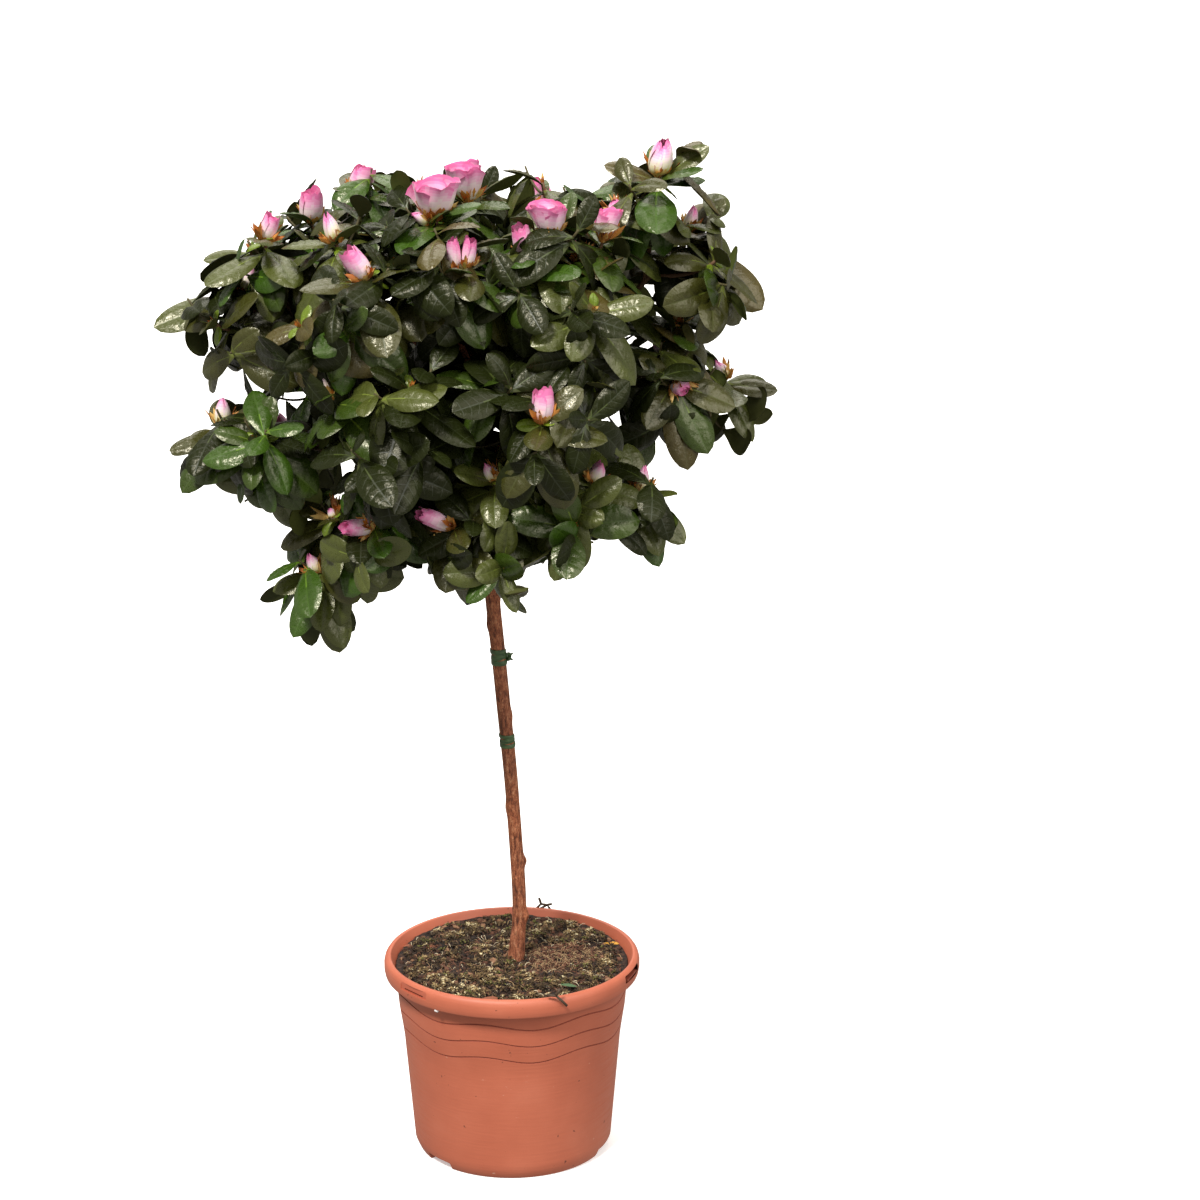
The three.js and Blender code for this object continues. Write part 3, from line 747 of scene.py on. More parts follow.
def inner_sprigs(mass):
    """The twigs along a bough, which fill the inside of the crown."""
    draw = seeded(SEED * 9000 + mass.index)
    line = bough_line(mass)
    made = []
    for k, share in enumerate(SPRIG["inner_shares"]):
        place = min(int(share * (len(line) - 1)), len(line) - 2)
        way = unit(line[place + 1] - line[place])
        aside = turned_about(beside(way), way, math.radians(WHORL["divergence"] * k + 360 * draw()))
        direction = unit(aside + 0.35 * way + 0.2 * UP)
        tip = line[place] + direction * lerp(*SPRIG["length"], draw())
        axis = unit(direction + SPRIG["inner_rise"] * UP)
        made.append(Shoot(mass, line[place], tip, axis, SPRIG["size"]))
    return made


def stem_sprigs():
    """The twigs that leave the stem itself inside the crown."""
    draw = seeded(SEED * 9500)
    made = []
    for k in range(SPRIG["stem_sprigs"]):
        height = lerp(STEM["lowest_bough"] + 20, STEM["highest_bough"], (k + 0.5) / SPRIG["stem_sprigs"])
        root = stem_at(height)
        direction = unit(at_bearing(1, WHORL["divergence"] * k + 40 * draw(), 0.35))
        tip = root + direction * lerp(*SPRIG["stem_length"], draw())
        mass = min(masses, key=lambda mass: np.linalg.norm(mass.centre - tip))
        axis = unit(direction + SPRIG["inner_rise"] * UP)
        made.append(Shoot(mass, root, tip, axis, SPRIG["size"]))
    return made


def sprigs_of(shoot, number):
    """The finer twigs that leave a shoot on alternating sides."""
    draw = seeded(SEED * 2000 + number)
    made = []
    line = shoot.line(21)
    for k, share in enumerate(SPRIG["shares"]):
        root = line[round(20 * share)]
        bearing = math.radians(WHORL["divergence"] * k + 360 * draw())
        lean = math.radians(SPRIG["lean"] * lerp(0.8, 1.15, draw()))
        way = unit(line[-1] - line[0])
        aside = turned_about(beside(way), way, bearing)
        direction = unit(way * math.cos(lean) + aside * math.sin(lean) + 0.15 * shoot.mass.outward)
        length = lerp(*SPRIG["length"], draw())
        tip = root + direction * length
        while length > 9 and not in_own_space(tip + SHOOT["spare"] * direction, shoot.mass):
            length -= 4
            tip = root + direction * length
        if length > SPRIG["shortest"]:
            axis = unit(direction + SPRIG["rise"] * UP)
            made.append(Shoot(shoot.mass, root, tip, axis, SPRIG["size"]))
    return made


# ---------------------------------------------------------------- leaves

PETIOLE = 0.09  # share of the leaf's length
SIDE_VEINS = {"pairs": 5, "first": 0.2, "last": 0.84, "half": 0.006, "slant": 0.34, "paleness": 0.16}
GREEN_BASE = 0.42  # share of the leaf that its pale midrib reaches


def leaf_rows():
    """The shares of a leaf's length at which its points lie, and which rows stand proud between veins."""
    rows = [0, 0.05, PETIOLE]
    proud = []
    veins = np.linspace(SIDE_VEINS["first"], SIDE_VEINS["last"], SIDE_VEINS["pairs"])
    for vein, following in zip(veins, [*veins[1:], None]):
        rows += [vein - SIDE_VEINS["half"], vein + SIDE_VEINS["half"]]
        if following:
            proud.append(len(rows))
            rows.append((vein + following) / 2)
    rows += [0.94, 1]
    return np.array(rows)[:, None], np.isin(np.arange(len(rows)), proud)[:, None]


LEAF_ROWS, PROUD_ROWS = leaf_rows()
LEAF_COLUMNS = np.array([-1, -0.72, -0.38, -0.05, 0.05, 0.38, 0.72, 1])
UNDER_ROWS = np.linspace(0, 1, 7)[:, None]
UNDER_COLUMNS = np.array([-1, -0.45, 0, 0.45, 1])
LEAF_FACES = grid_faces(len(LEAF_ROWS), len(LEAF_COLUMNS))
UNDER_FACES = grid_faces(len(UNDER_ROWS), len(UNDER_COLUMNS))[:, ::-1]
FACE_COLUMN = np.arange(len(LEAF_FACES)) % (len(LEAF_COLUMNS) - 1)
FACE_ROW = np.arange(len(LEAF_FACES)) // (len(LEAF_COLUMNS) - 1)
IS_MIDRIB = (FACE_COLUMN == 3) & (LEAF_ROWS[FACE_ROW, 0] < GREEN_BASE) | (FACE_ROW < 2)
IS_VEIN = (np.diff(LEAF_ROWS[:, 0])[FACE_ROW] < 3 * SIDE_VEINS["half"]) & (np.abs(FACE_COLUMN - 3) < 3)
IS_VEIN = IS_VEIN | (FACE_COLUMN == 3) | (FACE_ROW < 4) & (np.abs(FACE_COLUMN - 3) < 2)


def half_width(share):
    """The leaf's outline: a short stalk, then a blade that is widest a little past its middle."""
    blade = np.clip((share - PETIOLE) / (1 - PETIOLE), 0, 1)
    return blade**0.72 * (1 - blade) ** 0.6 / 0.403


class LeafShape:
    """The bends of one leaf."""

    def __init__(self, draw, length):
        self.length = length
        self.half = LEAF_SLIMNESS * length / 2 * lerp(0.88, 1.14, draw())
        self.droop = lerp(0.15, 0.95, draw())
        self.sway = lerp(-0.1, 0.1, draw()) * length
        self.curl = lerp(0.08, 0.34, draw())
        self.twist = lerp(-0.35, 0.35, draw())
        self.wave = lerp(0.2, 1.0, draw())
        self.phase = FULL_TURN * draw()
        self.quilt = lerp(0.03, 0.09, draw())

    def place(self, share, column, below, quilted):
        """Points of the blade in its own directions: across, along and out of its face."""
        slant = SIDE_VEINS["slant"] * np.abs(column) * np.sin(math.pi * share) if quilted else 0
        share = share + slant * (1 - share)
        width = self.half * half_width(share) + 0.9 * (1 - share)
        across = column * width
        edge = np.abs(column)
        rise = -self.curl * width * edge**2.4
        rise = rise + 0.5 * np.sin(9 * share + self.phase) * self.wave * edge**2 * width / 10
        rise = rise + 0.12 * width * smooth_step(edge, 0.03, 0.4)
        if quilted:
            swell = self.quilt * self.half * PROUD_ROWS
            rise = rise + swell * smooth_step(edge, 0.05, 0.38) * smooth_step(1 - edge, 0, 0.28)
        rise = rise - below
        turn = self.twist * share**2
        cos, sin = np.cos(turn), np.sin(turn)
        across, rise = across * cos - rise * sin, across * sin + rise * cos
        bend = self.droop * share
        along = self.length * np.sin(bend) / self.droop + rise * np.sin(bend)
        out = -self.length * (1 - np.cos(bend)) / self.droop + rise * np.cos(bend)
        return np.stack([across + self.sway * share**2, along, out], -1).reshape(-1, 3)

    def upper(self):
        return self.place(LEAF_ROWS, LEAF_COLUMNS[None, :], 0, True)

    def lower(self):
        column = UNDER_COLUMNS[None, :]
        below = 0.35 * (1 - np.abs(column) ** 3) + 0.5 * (column == 0) * (1 - UNDER_ROWS)
        return self.place(UNDER_ROWS, column, below, False)


# Where a leaf is felt for among its neighbours: shares of its length, and of its half width.
FEELERS = np.array([(0.4, 0), (0.6, 0.7), (0.6, -0.7), (0.72, 0), (0.85, 0.6), (0.85, -0.6), (1, 0)])


class Room:
    """The places that are already taken up."""

    def __init__(self):
        self.points = np.zeros((60000, 3))
        self.count = 0
        self.windows = []

    def take(self, points):
        self.points[self.count : self.count + len(points)] = points
        self.count += len(points)

    def near(self, centre, reach):
        taken = self.points[: self.count]
        return taken[np.all(np.abs(taken - centre) < reach, axis=1)]

    def hidden(self, points):
        """How many of the points hide a bud that the photograph shows."""
        windows = np.array(self.windows)
        foot, tip, radius, distance = windows[:, :2], windows[:, 2:4], windows[:, 4], windows[:, 5]
        pixels = pixels_of(points)[:, None]
        way = tip - foot
        share = np.clip(((pixels - foot) * way).sum(-1) / (way**2).sum(-1), 0, 1)
        apart = np.linalg.norm(foot + share[..., None] * way - pixels, axis=-1)
        scale = FOCAL / distance
        nearer = np.linalg.norm(points - CAMERA_PLACE, axis=1)[:, None] < distance + 4
        return (nearer & (share > 0.22) & (apart < radius * scale + BUD_MARGIN)).any(axis=1).sum()


def leaf_frame(axis, around, tilt, weight):
    """A leaf's directions, tilted off the shoot's axis at a bearing round it and bent down."""
    radial = turned_about(beside(axis), axis, around)
    along = axis * math.cos(tilt) + radial * math.sin(tilt)
    along[2] -= weight
    along = unit(along)
    face = unit(axis - along * (axis @ along))
    return np.array([np.cross(along, face), along, face])


def too_far(points):
    """How far the points stand out of the solids' box."""
    low, high = np.array(cad_box) / MM
    return np.maximum(np.maximum(low - points, points - high), 0).max()


def add_whorl(shoot, number, pile, room, paints, count):
    """The leaves of one shoot, each at the bearing with the most room. Gives how many were grown."""
    draw = seeded(SEED * 3000 + number)
    start = 360 * draw()
    grown = 0
    for rank in range(count):
        outer = 1 - rank / max(count - 1, 1)
        base = shoot.tip - shoot.axis * lerp(WHORL["nearest"], WHORL["furthest"], outer) * shoot.size
        length = lerp(WHORL["shortest"], WHORL["longest"], draw())
        length *= lerp(WHORL["inner_size"], 1, min(1, 1.6 * outer))
        length *= shoot.size
        shape = LeafShape(draw, length)
        neighbours = room.near(base, WHORL["sight"])
        best, best_score = None, -1e9
        for attempt in range(WHORL["tries"]):
            sway = WHORL["sway"] * (0.4 + attempt) * (draw() - 0.5)
            around = math.radians(start + WHORL["divergence"] * rank + sway)
            tilt = lerp(WHORL["inner_tilt"], WHORL["outer_tilt"], outer**0.7)
            tilt = math.radians(tilt + (WHORL["tilt_spread"] + 3 * attempt) * (draw() - 0.5))
            directions = leaf_frame(shoot.axis, around, tilt, outer * lerp(*WHORL["sag"], draw()))
            local = np.stack(
                [
                    FEELERS[:, 1] * shape.half,
                    FEELERS[:, 0] * length,
                    -0.5 * shape.droop * length * FEELERS[:, 0] ** 2,
                ],
                -1,
            )
            felt = base + local @ directions
            stray = astray(felt)
            hidden = room.hidden(felt)
            score = -4 * too_far(felt) - 0.15 * attempt - 0.5 * stray - 4 * hidden
            if len(neighbours):
                gaps = np.linalg.norm(felt[:, None] - neighbours[None], axis=2).min(axis=1)
                score += np.minimum(gaps, WHORL["room"]).mean() + 0.5 * min(gaps.min(), 5)
            if score > best_score:
                best, best_score, best_felt, best_stray, best_hidden = directions, score, felt, stray, hidden
        if too_far(best_felt) > WHORL["overhang"] or best_stray > STRAY or best_hidden:
            continue
        room.take(best_felt)
        grown += 1
        add_leaf(pile, shape, base, best, paints)
    return grown


def add_seen_leaf(shoots, pixels, number, pile, twigs, paints):
    """A leaf that ends where the photograph shows its tip, on the shoot nearest to its foot."""
    across, down, tip_across, tip_down = pixels
    foot = np.array([across, down], float)
    shoot = min(shoots, key=lambda shoot: np.linalg.norm(pixel_of(shoot.tip)[0] - foot))
    base = shoot.tip - 5 * shoot.axis
    _, distance = pixel_of(base)
    end = seen_at(tip_across, tip_down, distance - 6)
    start = base
    length = min(np.linalg.norm(end - base), 1.15 * WHORL["longest"])
    base = end - unit(end - base) * length
    if np.linalg.norm(base - start) > 2:
        add_limb(twigs, np.linspace(start, base, 4), [1.1, 1.0, 0.9, 0.9], 6, 1)
    along = unit(end - base)
    outward = UP - 0.7 * line_of_sight(across, down)
    face = unit(outward - along * (along @ outward))
    shape = LeafShape(seeded(SEED * 7000 + number), length)
    shape.droop, shape.sway, shape.half = 0.25, 0, 0.85 * shape.half
    add_leaf(pile, shape, base, np.array([np.cross(along, face), along, face]), paints)


def add_leaf(pile, shape, base, directions, paints):
    blade, midrib, under, vein = paints
    paint = np.where(IS_MIDRIB, midrib, np.where(IS_VEIN, vein, blade))
    pile.add(base + shape.upper() @ directions, LEAF_FACES, paint)
    pile.add(base + shape.lower() @ directions, UNDER_FACES, under)


# ---------------------------------------------------------------- flowers

PETAL_ROWS, PETAL_COLUMNS = 12, 8
PETAL_FACES = grid_faces(PETAL_ROWS + 1, PETAL_COLUMNS + 1)
PROFILE = (0, 0.1, 0.3, 0.55, 0.8, 1)  # shares of a flower's height at which its width is given
KIND_FIELDS = ("widths", "frill", "layers", "length", "late", "foot_shade", "grip", "scaled")
KIND_ROWS = [
    # name, widths on the way up, frill, layers of petals, length in radii, how late the pink starts,
    # the shade of its foot, and of the scales round the foot the width and the share of the length
    ("slim", (0.3, 0.74, 1, 0.94, 0.66, 0.2), 0.02, 1, 4.4, 1.6, 0.04, 0.8, 0.34),
    ("plump", (0.3, 0.72, 0.98, 1, 0.8, 0.4), 0.04, 2, 3.4, 1.8, 0.12, 0.8, 0.34),
    ("frilled", (0.26, 0.66, 0.92, 0.98, 0.92, 0.84), 0.06, 2, 4, 1.6, 0.4, 0.7, 0.34),
    ("open", (0.24, 0.5, 0.74, 0.88, 0.98, 1.06), 0.1, 2, 2.5, 2.4, 0.46, 0.45, 0.52),
]
KINDS = {name: dict(zip(KIND_FIELDS, row)) for name, *row in KIND_ROWS}

def directions_about(axis):
    side = beside(axis)
    return np.array([side, np.cross(axis, side), axis])


def add_flower(pile, foot, rise, kind, radius, number):
    """Petals wrapped round each other, from a narrow foot to a closed or frilled top."""
    draw = seeded(SEED * 5000 + number)
    form = KINDS[kind]
    height = np.linalg.norm(rise)
    directions = directions_about(rise / height)
    up = np.linspace(0, 1, PETAL_ROWS + 1)[:, None]
    column = np.linspace(-1, 1, PETAL_COLUMNS + 1)[None, :]
    body = np.interp(up, PROFILE, form["widths"])
    height_of_face = (up[:-1] + up[1:]) / 2
    edge_of_face = np.abs((column[:, :-1] + column[:, 1:]) / 2)
    phase = FULL_TURN * draw()
    pale = form["foot_shade"]
    for layer in range(form["layers"]):
        for k in range(5):
            middle = phase + FULL_TURN * (k / 5 + 0.1 * layer) + 0.2 * draw()
            reach = 1 - 0.2 * layer + 0.05 * draw()
            tall = height * (lerp(0.8, 1.06, draw()) - 0.02 * layer)
            ruffle = np.sin(4 * column + FULL_TURN * draw()) + 0.5 * np.sin(9 * column + FULL_TURN * draw())
            distance = radius * (body * reach + 0.08 * column * up + form["frill"] * ruffle * up**3)
            spread = lerp(0.85, 1.1, draw())
            angle = middle + column * spread + 0.35 * up
            rounded = 0.17 * np.abs(column) ** 3 * up**3 + 0.035 * ruffle * up**6
            stand = tall * (up - rounded)
            points = np.stack([distance * np.cos(angle), distance * np.sin(angle), stand], -1)
            shade = height_of_face ** form["late"] + 0.2 * edge_of_face**3 * height_of_face
            shade = shade + 0.16 * (draw() - 0.55) + 0.05 * np.sin(9 * edge_of_face + FULL_TURN * draw())
            shade = pale + (1 - pale) * shade
            paint = np.clip(shade * PETAL_SHADES, 0, PETAL_SHADES - 1).astype(int).ravel()
            pile.add(foot + points.reshape(-1, 3) @ directions, PETAL_FACES, paint)


SCALE_FACES = grid_faces(5, 3)


def bud_body(radius):
    """The radius of a closed leaf bud at each height above its foot, in millimetres."""
    return lambda stand: radius * (0.45 + 0.62 * np.sin(np.clip(0.32 * stand / radius, 0, 2.6)))


def flower_body(kind, radius, height):
    """The radius of a flower's outside at each height above its foot."""
    return lambda stand: 1.05 * radius * np.interp(stand / height, PROFILE, KINDS[kind]["widths"]) + 0.3


def add_scales(pile, foot, axis, body, radius, length, count, number):
    """Small pointed scales that clasp a bud or the foot of a flower."""
    draw = seeded(SEED * 6000 + number)
    directions = directions_about(axis)
    up = np.linspace(0, 1, 5)[:, None]
    column = np.array([-1.0, 0.0, 1.0])[None, :]
    for k in range(count):
        angle = FULL_TURN * (k * 0.382 + 0.05 * draw())
        long = length * lerp(0.55, 1.1, draw())
        width = 0.5 * radius * np.sin(math.pi * np.clip(up * 0.85 + 0.15, 0, 1)) ** 0.8
        flare = lerp(0.0, 0.3, draw())
        stand = -0.1 * length + long * up + 0 * column
        out = body(stand) + flare * radius * up**2 - 0.12 * radius * column**2
        local = np.stack(
            [
                out * math.cos(angle) - width * column * math.sin(angle),
                out * math.sin(angle) + width * column * math.cos(angle),
                stand,
            ],
            -1,
        )
        pile.add(foot + local.reshape(-1, 3) @ directions, SCALE_FACES, int(draw() * len(SCALE_COLOURS)))


def add_side_bud(pile, shoot, rise, number):
    """A small closed bud beside a flower's foot."""
    draw = seeded(SEED * 6500 + number)
    around = FULL_TURN * (number / 3 + 0.1 * draw())
    side = turned_about(beside(rise), rise, around)
    axis = unit(rise + lerp(0.5, 1.1, draw()) * side)
    radius = lerp(2.8, 4.2, draw())
    foot = shoot.tip + 5 * side + 2 * rise
    add_scales(pile, foot, axis, bud_body(radius), radius, 3.4 * radius, 7, number)


# ---------------------------------------------------------------- building the crown

LEAF_COLOURS = {  # base colours of blade, midrib and underside, and how often each is dealt out low and high
    "dark": ((0.041, 0.042, 0.007), (0.120, 0.145, 0.022), (0.078, 0.084, 0.024), 4, 6),
    "deep green": ((0.030, 0.055, 0.005), (0.120, 0.180, 0.018), (0.086, 0.106, 0.022), 6, 5),
    "bronze": ((0.066, 0.051, 0.011), (0.130, 0.140, 0.026), (0.098, 0.088, 0.028), 1, 3),
    "green": ((0.031, 0.072, 0.005), (0.115, 0.220, 0.016), (0.090, 0.126, 0.020), 4, 1),
    # Olive is dealt most often low in the crown: partly the leaves' own colour, partly painted light for the
    # light that the lower leaves catch.
    "olive": ((0.060, 0.072, 0.013), (0.150, 0.190, 0.030), (0.110, 0.126, 0.030), 9, 3),
    "young": ((0.130, 0.195, 0.013), (0.230, 0.300, 0.032), (0.160, 0.215, 0.040), 0, 0),
    # The 'shaded' row is painted shade: near-black copies of the leaves, dealt to the crown's inside and its
    # hollow front.
    "shaded": ((0.012, 0.016, 0.003), (0.045, 0.062, 0.010), (0.042, 0.048, 0.012), 0, 0),
}
YOUNG, SHADED = (list(LEAF_COLOURS).index(name) for name in ("young", "shaded"))
LEAF_HEIGHTS = (480, 690)  # between these the leaves' colours change from low to high
YOUNG_WHORL = {"share": 0.8, "size": 0.34, "leaves": 3, "first": 900}  # a tuft of small new leaves
HOLLOW = {"middle": (412, 440), "radii": (95, 62)}  # where the crown's front is hollow and dark, in pixels
SHADED_SHARE = {"hollow": 0.8, "sprig": 0.5, "inner": 0.9}  # of the sprays that get the 'shaded' leaves, which are painted shade
PETAL_SHADES = 10
PETAL_STOPS = [  # colours from a petal's foot to its edge
    (0.00, (0.50, 0.52, 0.14)), (0.14, (0.82, 0.74, 0.34)), (0.34, (0.95, 0.86, 0.72)),
    (0.55, (0.95, 0.74, 0.82)), (0.78, (0.92, 0.46, 0.69)), (1.00, (0.84, 0.20, 0.47)),
]
SCALE_COLOURS = [(0.60, 0.25, 0.05), (0.46, 0.15, 0.035), (0.72, 0.47, 0.15)]
TWIG_COLOURS = [(0.14, 0.07, 0.033), (0.075, 0.062, 0.022)]


def blade_material(name, colour):
    """A satin leaf face with fine creases and low blisters. The 'shaded' copies, painted shade for the
    crown's inside, reflect less.
    """
    sheen = {"Specular_IOR_Level": 0.25 if "shaded" in name else 0.7, "Specular_Tint": (1.0, 0.96, 0.80, 1.0)}
    material = plain_material(name, colour, 0.32, 0.1, 900, 0.14, **sheen)
    tree = material.node_tree
    shader = tree.nodes["Principled BSDF"]
    add_bump(tree, shader, noise_node(tree, 190, 3), 0.85)
    return material


def leaf_materials():
    made = []
    for name, (blade, midrib, under, *_) in LEAF_COLOURS.items():
        vein = [lerp(low, high, SIDE_VEINS["paleness"]) for low, high in zip(blade, midrib)]
        made.append(blade_material(f"leaf {name}", blade))
        made.append(plain_material(f"midrib {name}", midrib, 0.45, 0.05, 420, 0.1))
        made.append(plain_material(f"underside {name}", under, 0.6, 0.05, 420, 0.1, Specular_IOR_Level=0.3))
        made.append(plain_material(f"vein {name}", vein, 0.45, 0.08, 620, 0.2))
    return made


def petal_materials():
    """The petals' shades, from their feet to their edges."""
    places, colours = zip(*PETAL_STOPS)
    shades = [
        [np.interp(rank / (PETAL_SHADES - 1), places, channel) for channel in zip(*colours)]
        for rank in range(PETAL_SHADES)
    ]
    return materials_of("petal", shades, 0.55, 0.05, 900, 0.08, Sheen_Weight=0.2, Specular_IOR_Level=0.35)

def leaf_paints(rank):
    """The numbers of the four materials of a row of LEAF_COLOURS."""
    return range(4 * rank, 4 * rank + 4)

def dealt_paints(draw, height, shaded=0.0):
    """A spray's four materials, greener and lighter low in the crown and browner near its top. The lighter
    low leaves are partly painted light.

    shaded is the chance of the 'shaded' leaves, painted shade for the crown's inside.
    """
    low, high = LEAF_HEIGHTS
    share = np.clip((height - low) / (high - low), 0, 1)
    ranks = [
        rank
        for rank, row in enumerate(LEAF_COLOURS.values())
        for _ in range(round(lerp(row[3], row[4], share)))
    ]
    rank = ranks[int(draw() * len(ranks))]
    return leaf_paints(SHADED if draw() < shaded else rank)

def in_hollow(point):
    """True where the crown's front is hollow and dark. Its sprays get the 'shaded' leaves, painted shade."""
    offset = (pixel_of(point)[0] - np.array(HOLLOW["middle"])) / np.array(HOLLOW["radii"])
    return np.linalg.norm(offset) < 1 and point[1] < 0


def other_flowers(shoots, draw):
    """Flowers for the shoots of the sides and the back, which the photograph doesn't show."""
    for shoot in shoots:
        if shoot.flower is None and shoot.axis[1] > -0.25 and draw() < FLOWERS["share"]:
            kind = FLOWERS["kinds"][int(draw() * len(FLOWERS["kinds"]))]
            radius = lerp(*FLOWERS["radius"], draw())
            radius *= 1.6 if kind == "open" else 1
            rise = unit(shoot.axis + 0.5 * UP) * radius * KINDS[kind]["length"]
            if astray(shoot.tip + np.outer([0.5, 1], rise)) <= TWIG_STRAY:
                shoot.flower = (kind, radius, rise)


def part_of_crown(mass):
    if "back" in mass.name:
        return "back"
    if mass.centre[2] > CROWN["top_from"]:
        return "top"
    return "middle" if mass.centre[2] > CROWN["middle_from"] else "low"


def build_crown():
    room = Room()
    for height in np.arange(440, 606, 6.0):
        room.take(stem_at(height)[None])
    for mass in masses:
        room.take(bough_line(mass)[2:])
    draw = seeded(SEED * 4000)
    shoots = place_seen_flowers([shoot for mass in masses for shoot in shoots_of(mass)], room)
    for shoot in shoots:
        if not shoot.flower:
            drawn_in(shoot)
    other_flowers(shoots, draw)
    sprigs = [sprig for number, shoot in enumerate(shoots) for sprig in sprigs_of(shoot, number)]
    inner = [sprig for mass in masses for sprig in inner_sprigs(mass)] + stem_sprigs()
    for sprig in sprigs + inner:
        drawn_in(sprig)
    for shoot in shoots + sprigs:
        room.take(shoot.line(9)[3:])
        if shoot.flower:
            room.take(shoot.tip + np.linspace(0.2, 1, 4)[:, None] * shoot.flower[2])

    twigs, petals, scales = Pile(), Pile(), Pile()
    leaves = {part: Pile() for part in ("top", "middle", "low", "back")}
    for mass in masses:
        add_limb(twigs, np.array([mass.entry, mass.centre]), [2.2, 2.0], 6)
    for number, shoot in enumerate(shoots + sprigs + inner):
        whole = number < len(shoots)
        pile = leaves[part_of_crown(shoot.mass)]
        count = WHORL["leaves"] if whole else SPRIG["leaves"]
        # Sprigs, inner sprays and the hollow front get the 'shaded' leaves: painted shade.
        shaded = 0.0 if whole else SHADED_SHARE["sprig" if number < len(shoots + sprigs) else "inner"]
        if in_hollow(shoot.tip):
            shaded = max(shaded, SHADED_SHARE["hollow"])
        paints = dealt_paints(draw, shoot.tip[2], shaded)
        grown = add_whorl(shoot, number, pile, room, paints, count)
        if grown < SPRIG["fewest"] and not shoot.flower:
            continue
        if whole and draw() < YOUNG_WHORL["share"]:
            young = Shoot(shoot.mass, shoot.root, shoot.tip, shoot.axis, YOUNG_WHORL["size"])
            order = YOUNG_WHORL["first"] + number
            add_whorl(young, order, pile, room, leaf_paints(YOUNG), YOUNG_WHORL["leaves"])
        sizes = SHOOT if whole else SPRIG
        line = shoot.line(9)
        radii = np.linspace(sizes["radius"], sizes["tip_radius"], len(line))
        add_limb(twigs, line, radii, 6, 0 if whole else 1)
        if shoot.flower:
            kind, radius, rise = shoot.flower
            add_flower(petals, shoot.tip, rise, kind, radius, number)
            height = np.linalg.norm(rise)
            body = flower_body(kind, radius, height)
            grip = KINDS[kind]["grip"] * radius
            share = KINDS[kind]["scaled"]
            add_scales(scales, shoot.tip, unit(rise), body, grip, share * height, 11, number)
            for rank in range(3):
                add_side_bud(scales, shoot, unit(rise), 3 * number + rank)
        elif whole:
            add_scales(scales, shoot.tip, shoot.axis, bud_body(2.4), 2.4, 7, 6, number)

    for number, pixels in enumerate(SEEN_LEAVES):
        height = lerp(*LEAF_HEIGHTS[::-1], (pixels[1] - 180) / 380)
        add_seen_leaf(shoots, pixels, number, leaves["low"], twigs, dealt_paints(draw, height))

    materials = leaf_materials()
    for part, pile in leaves.items():
        replaced = [f"foliage_{mass.name}" for mass in masses if part_of_crown(mass) == part]
        pile.piece(f"leaves_{part}", materials, "foliage", replaced)
    twigs.piece("twigs", materials_of("twig", TWIG_COLOURS, 0.7, 0.1, 500, 0.4), "bark")
    petals.piece("petals", petal_materials(), "blossom")
    scales.piece("bud_scales", materials_of("scale", SCALE_COLOURS, 0.5, 0.1, 700, 0.2), "bark")

# ---------------------------------------------------------------- stem and boughs


def bark_relief(radius):
    """Lengthwise fissures, deeper on a thicker limb."""
    depth = 0.085 * radius

    def relief(angles, way):
        folds = 0.5 * np.sin(7 * angles + 2.1 * math.sin(way / 37) + way / 90)
        folds = folds + 0.3 * np.sin(12 * angles - 1.7 * math.sin(way / 23) - way / 60)
        folds = folds + 0.25 * np.sin(17 * angles + 2 * math.sin(way / 11)) * math.sin(way / 31)
        swell = 0.35 * math.sin(way / 19) * np.sin(angles + way / 70) + 0.2 * np.sin(2 * angles + way / 27)
        return depth * (swell - np.maximum(folds, 0) ** 1.5)

    return relief


def stem_relief(angles, way):
    """The stem's fissures and the stubs of shoots that were cut away."""
    relief = bark_relief(STEM["radius"])(angles, way)
    for height, bearing, out, half in KNOTS:
        turn = np.angle(np.exp(1j * (angles - math.radians(bearing) - STEM_START_ANGLE)))
        rise = (way + SOIL["level"] - 2 - height) / half
        relief = relief + out * np.exp(-((turn / 0.45) ** 2) - rise**2)
    return relief


heights = np.arange(SOIL["level"] - 2, STEM["line"][-1][2], 1.4)
stem_line = np.array([stem_at(height) for height in heights])
first_side = beside(unit(stem_line[1] - stem_line[0]))
STEM_START_ANGLE = -math.atan2(first_side[1], first_side[0])


def build_stem_and_boughs():
    pile = Pile()
    add_limb(pile, stem_line, [stem_radius(height) for height in heights], 44, 0, stem_relief)
    for mass in masses:
        line = bough_line(mass)
        foot = BOUGH["foot_share"] * stem_radius(mass.bough_height)
        share = np.linspace(0, 1, 50)
        places = np.linspace(0, 1, len(line))
        fine = np.stack([np.interp(share, places, line[:, axis]) for axis in range(3)], -1)
        add_limb(pile, fine, lerp(foot, BOUGH["tip_radius"], share), 14, 0, bark_relief(3))
    replaced = ["stem"] + [f"bough_{mass.name}" for mass in masses]
    pile.piece("stem_and_boughs", [bark_material()], "bark", replaced)


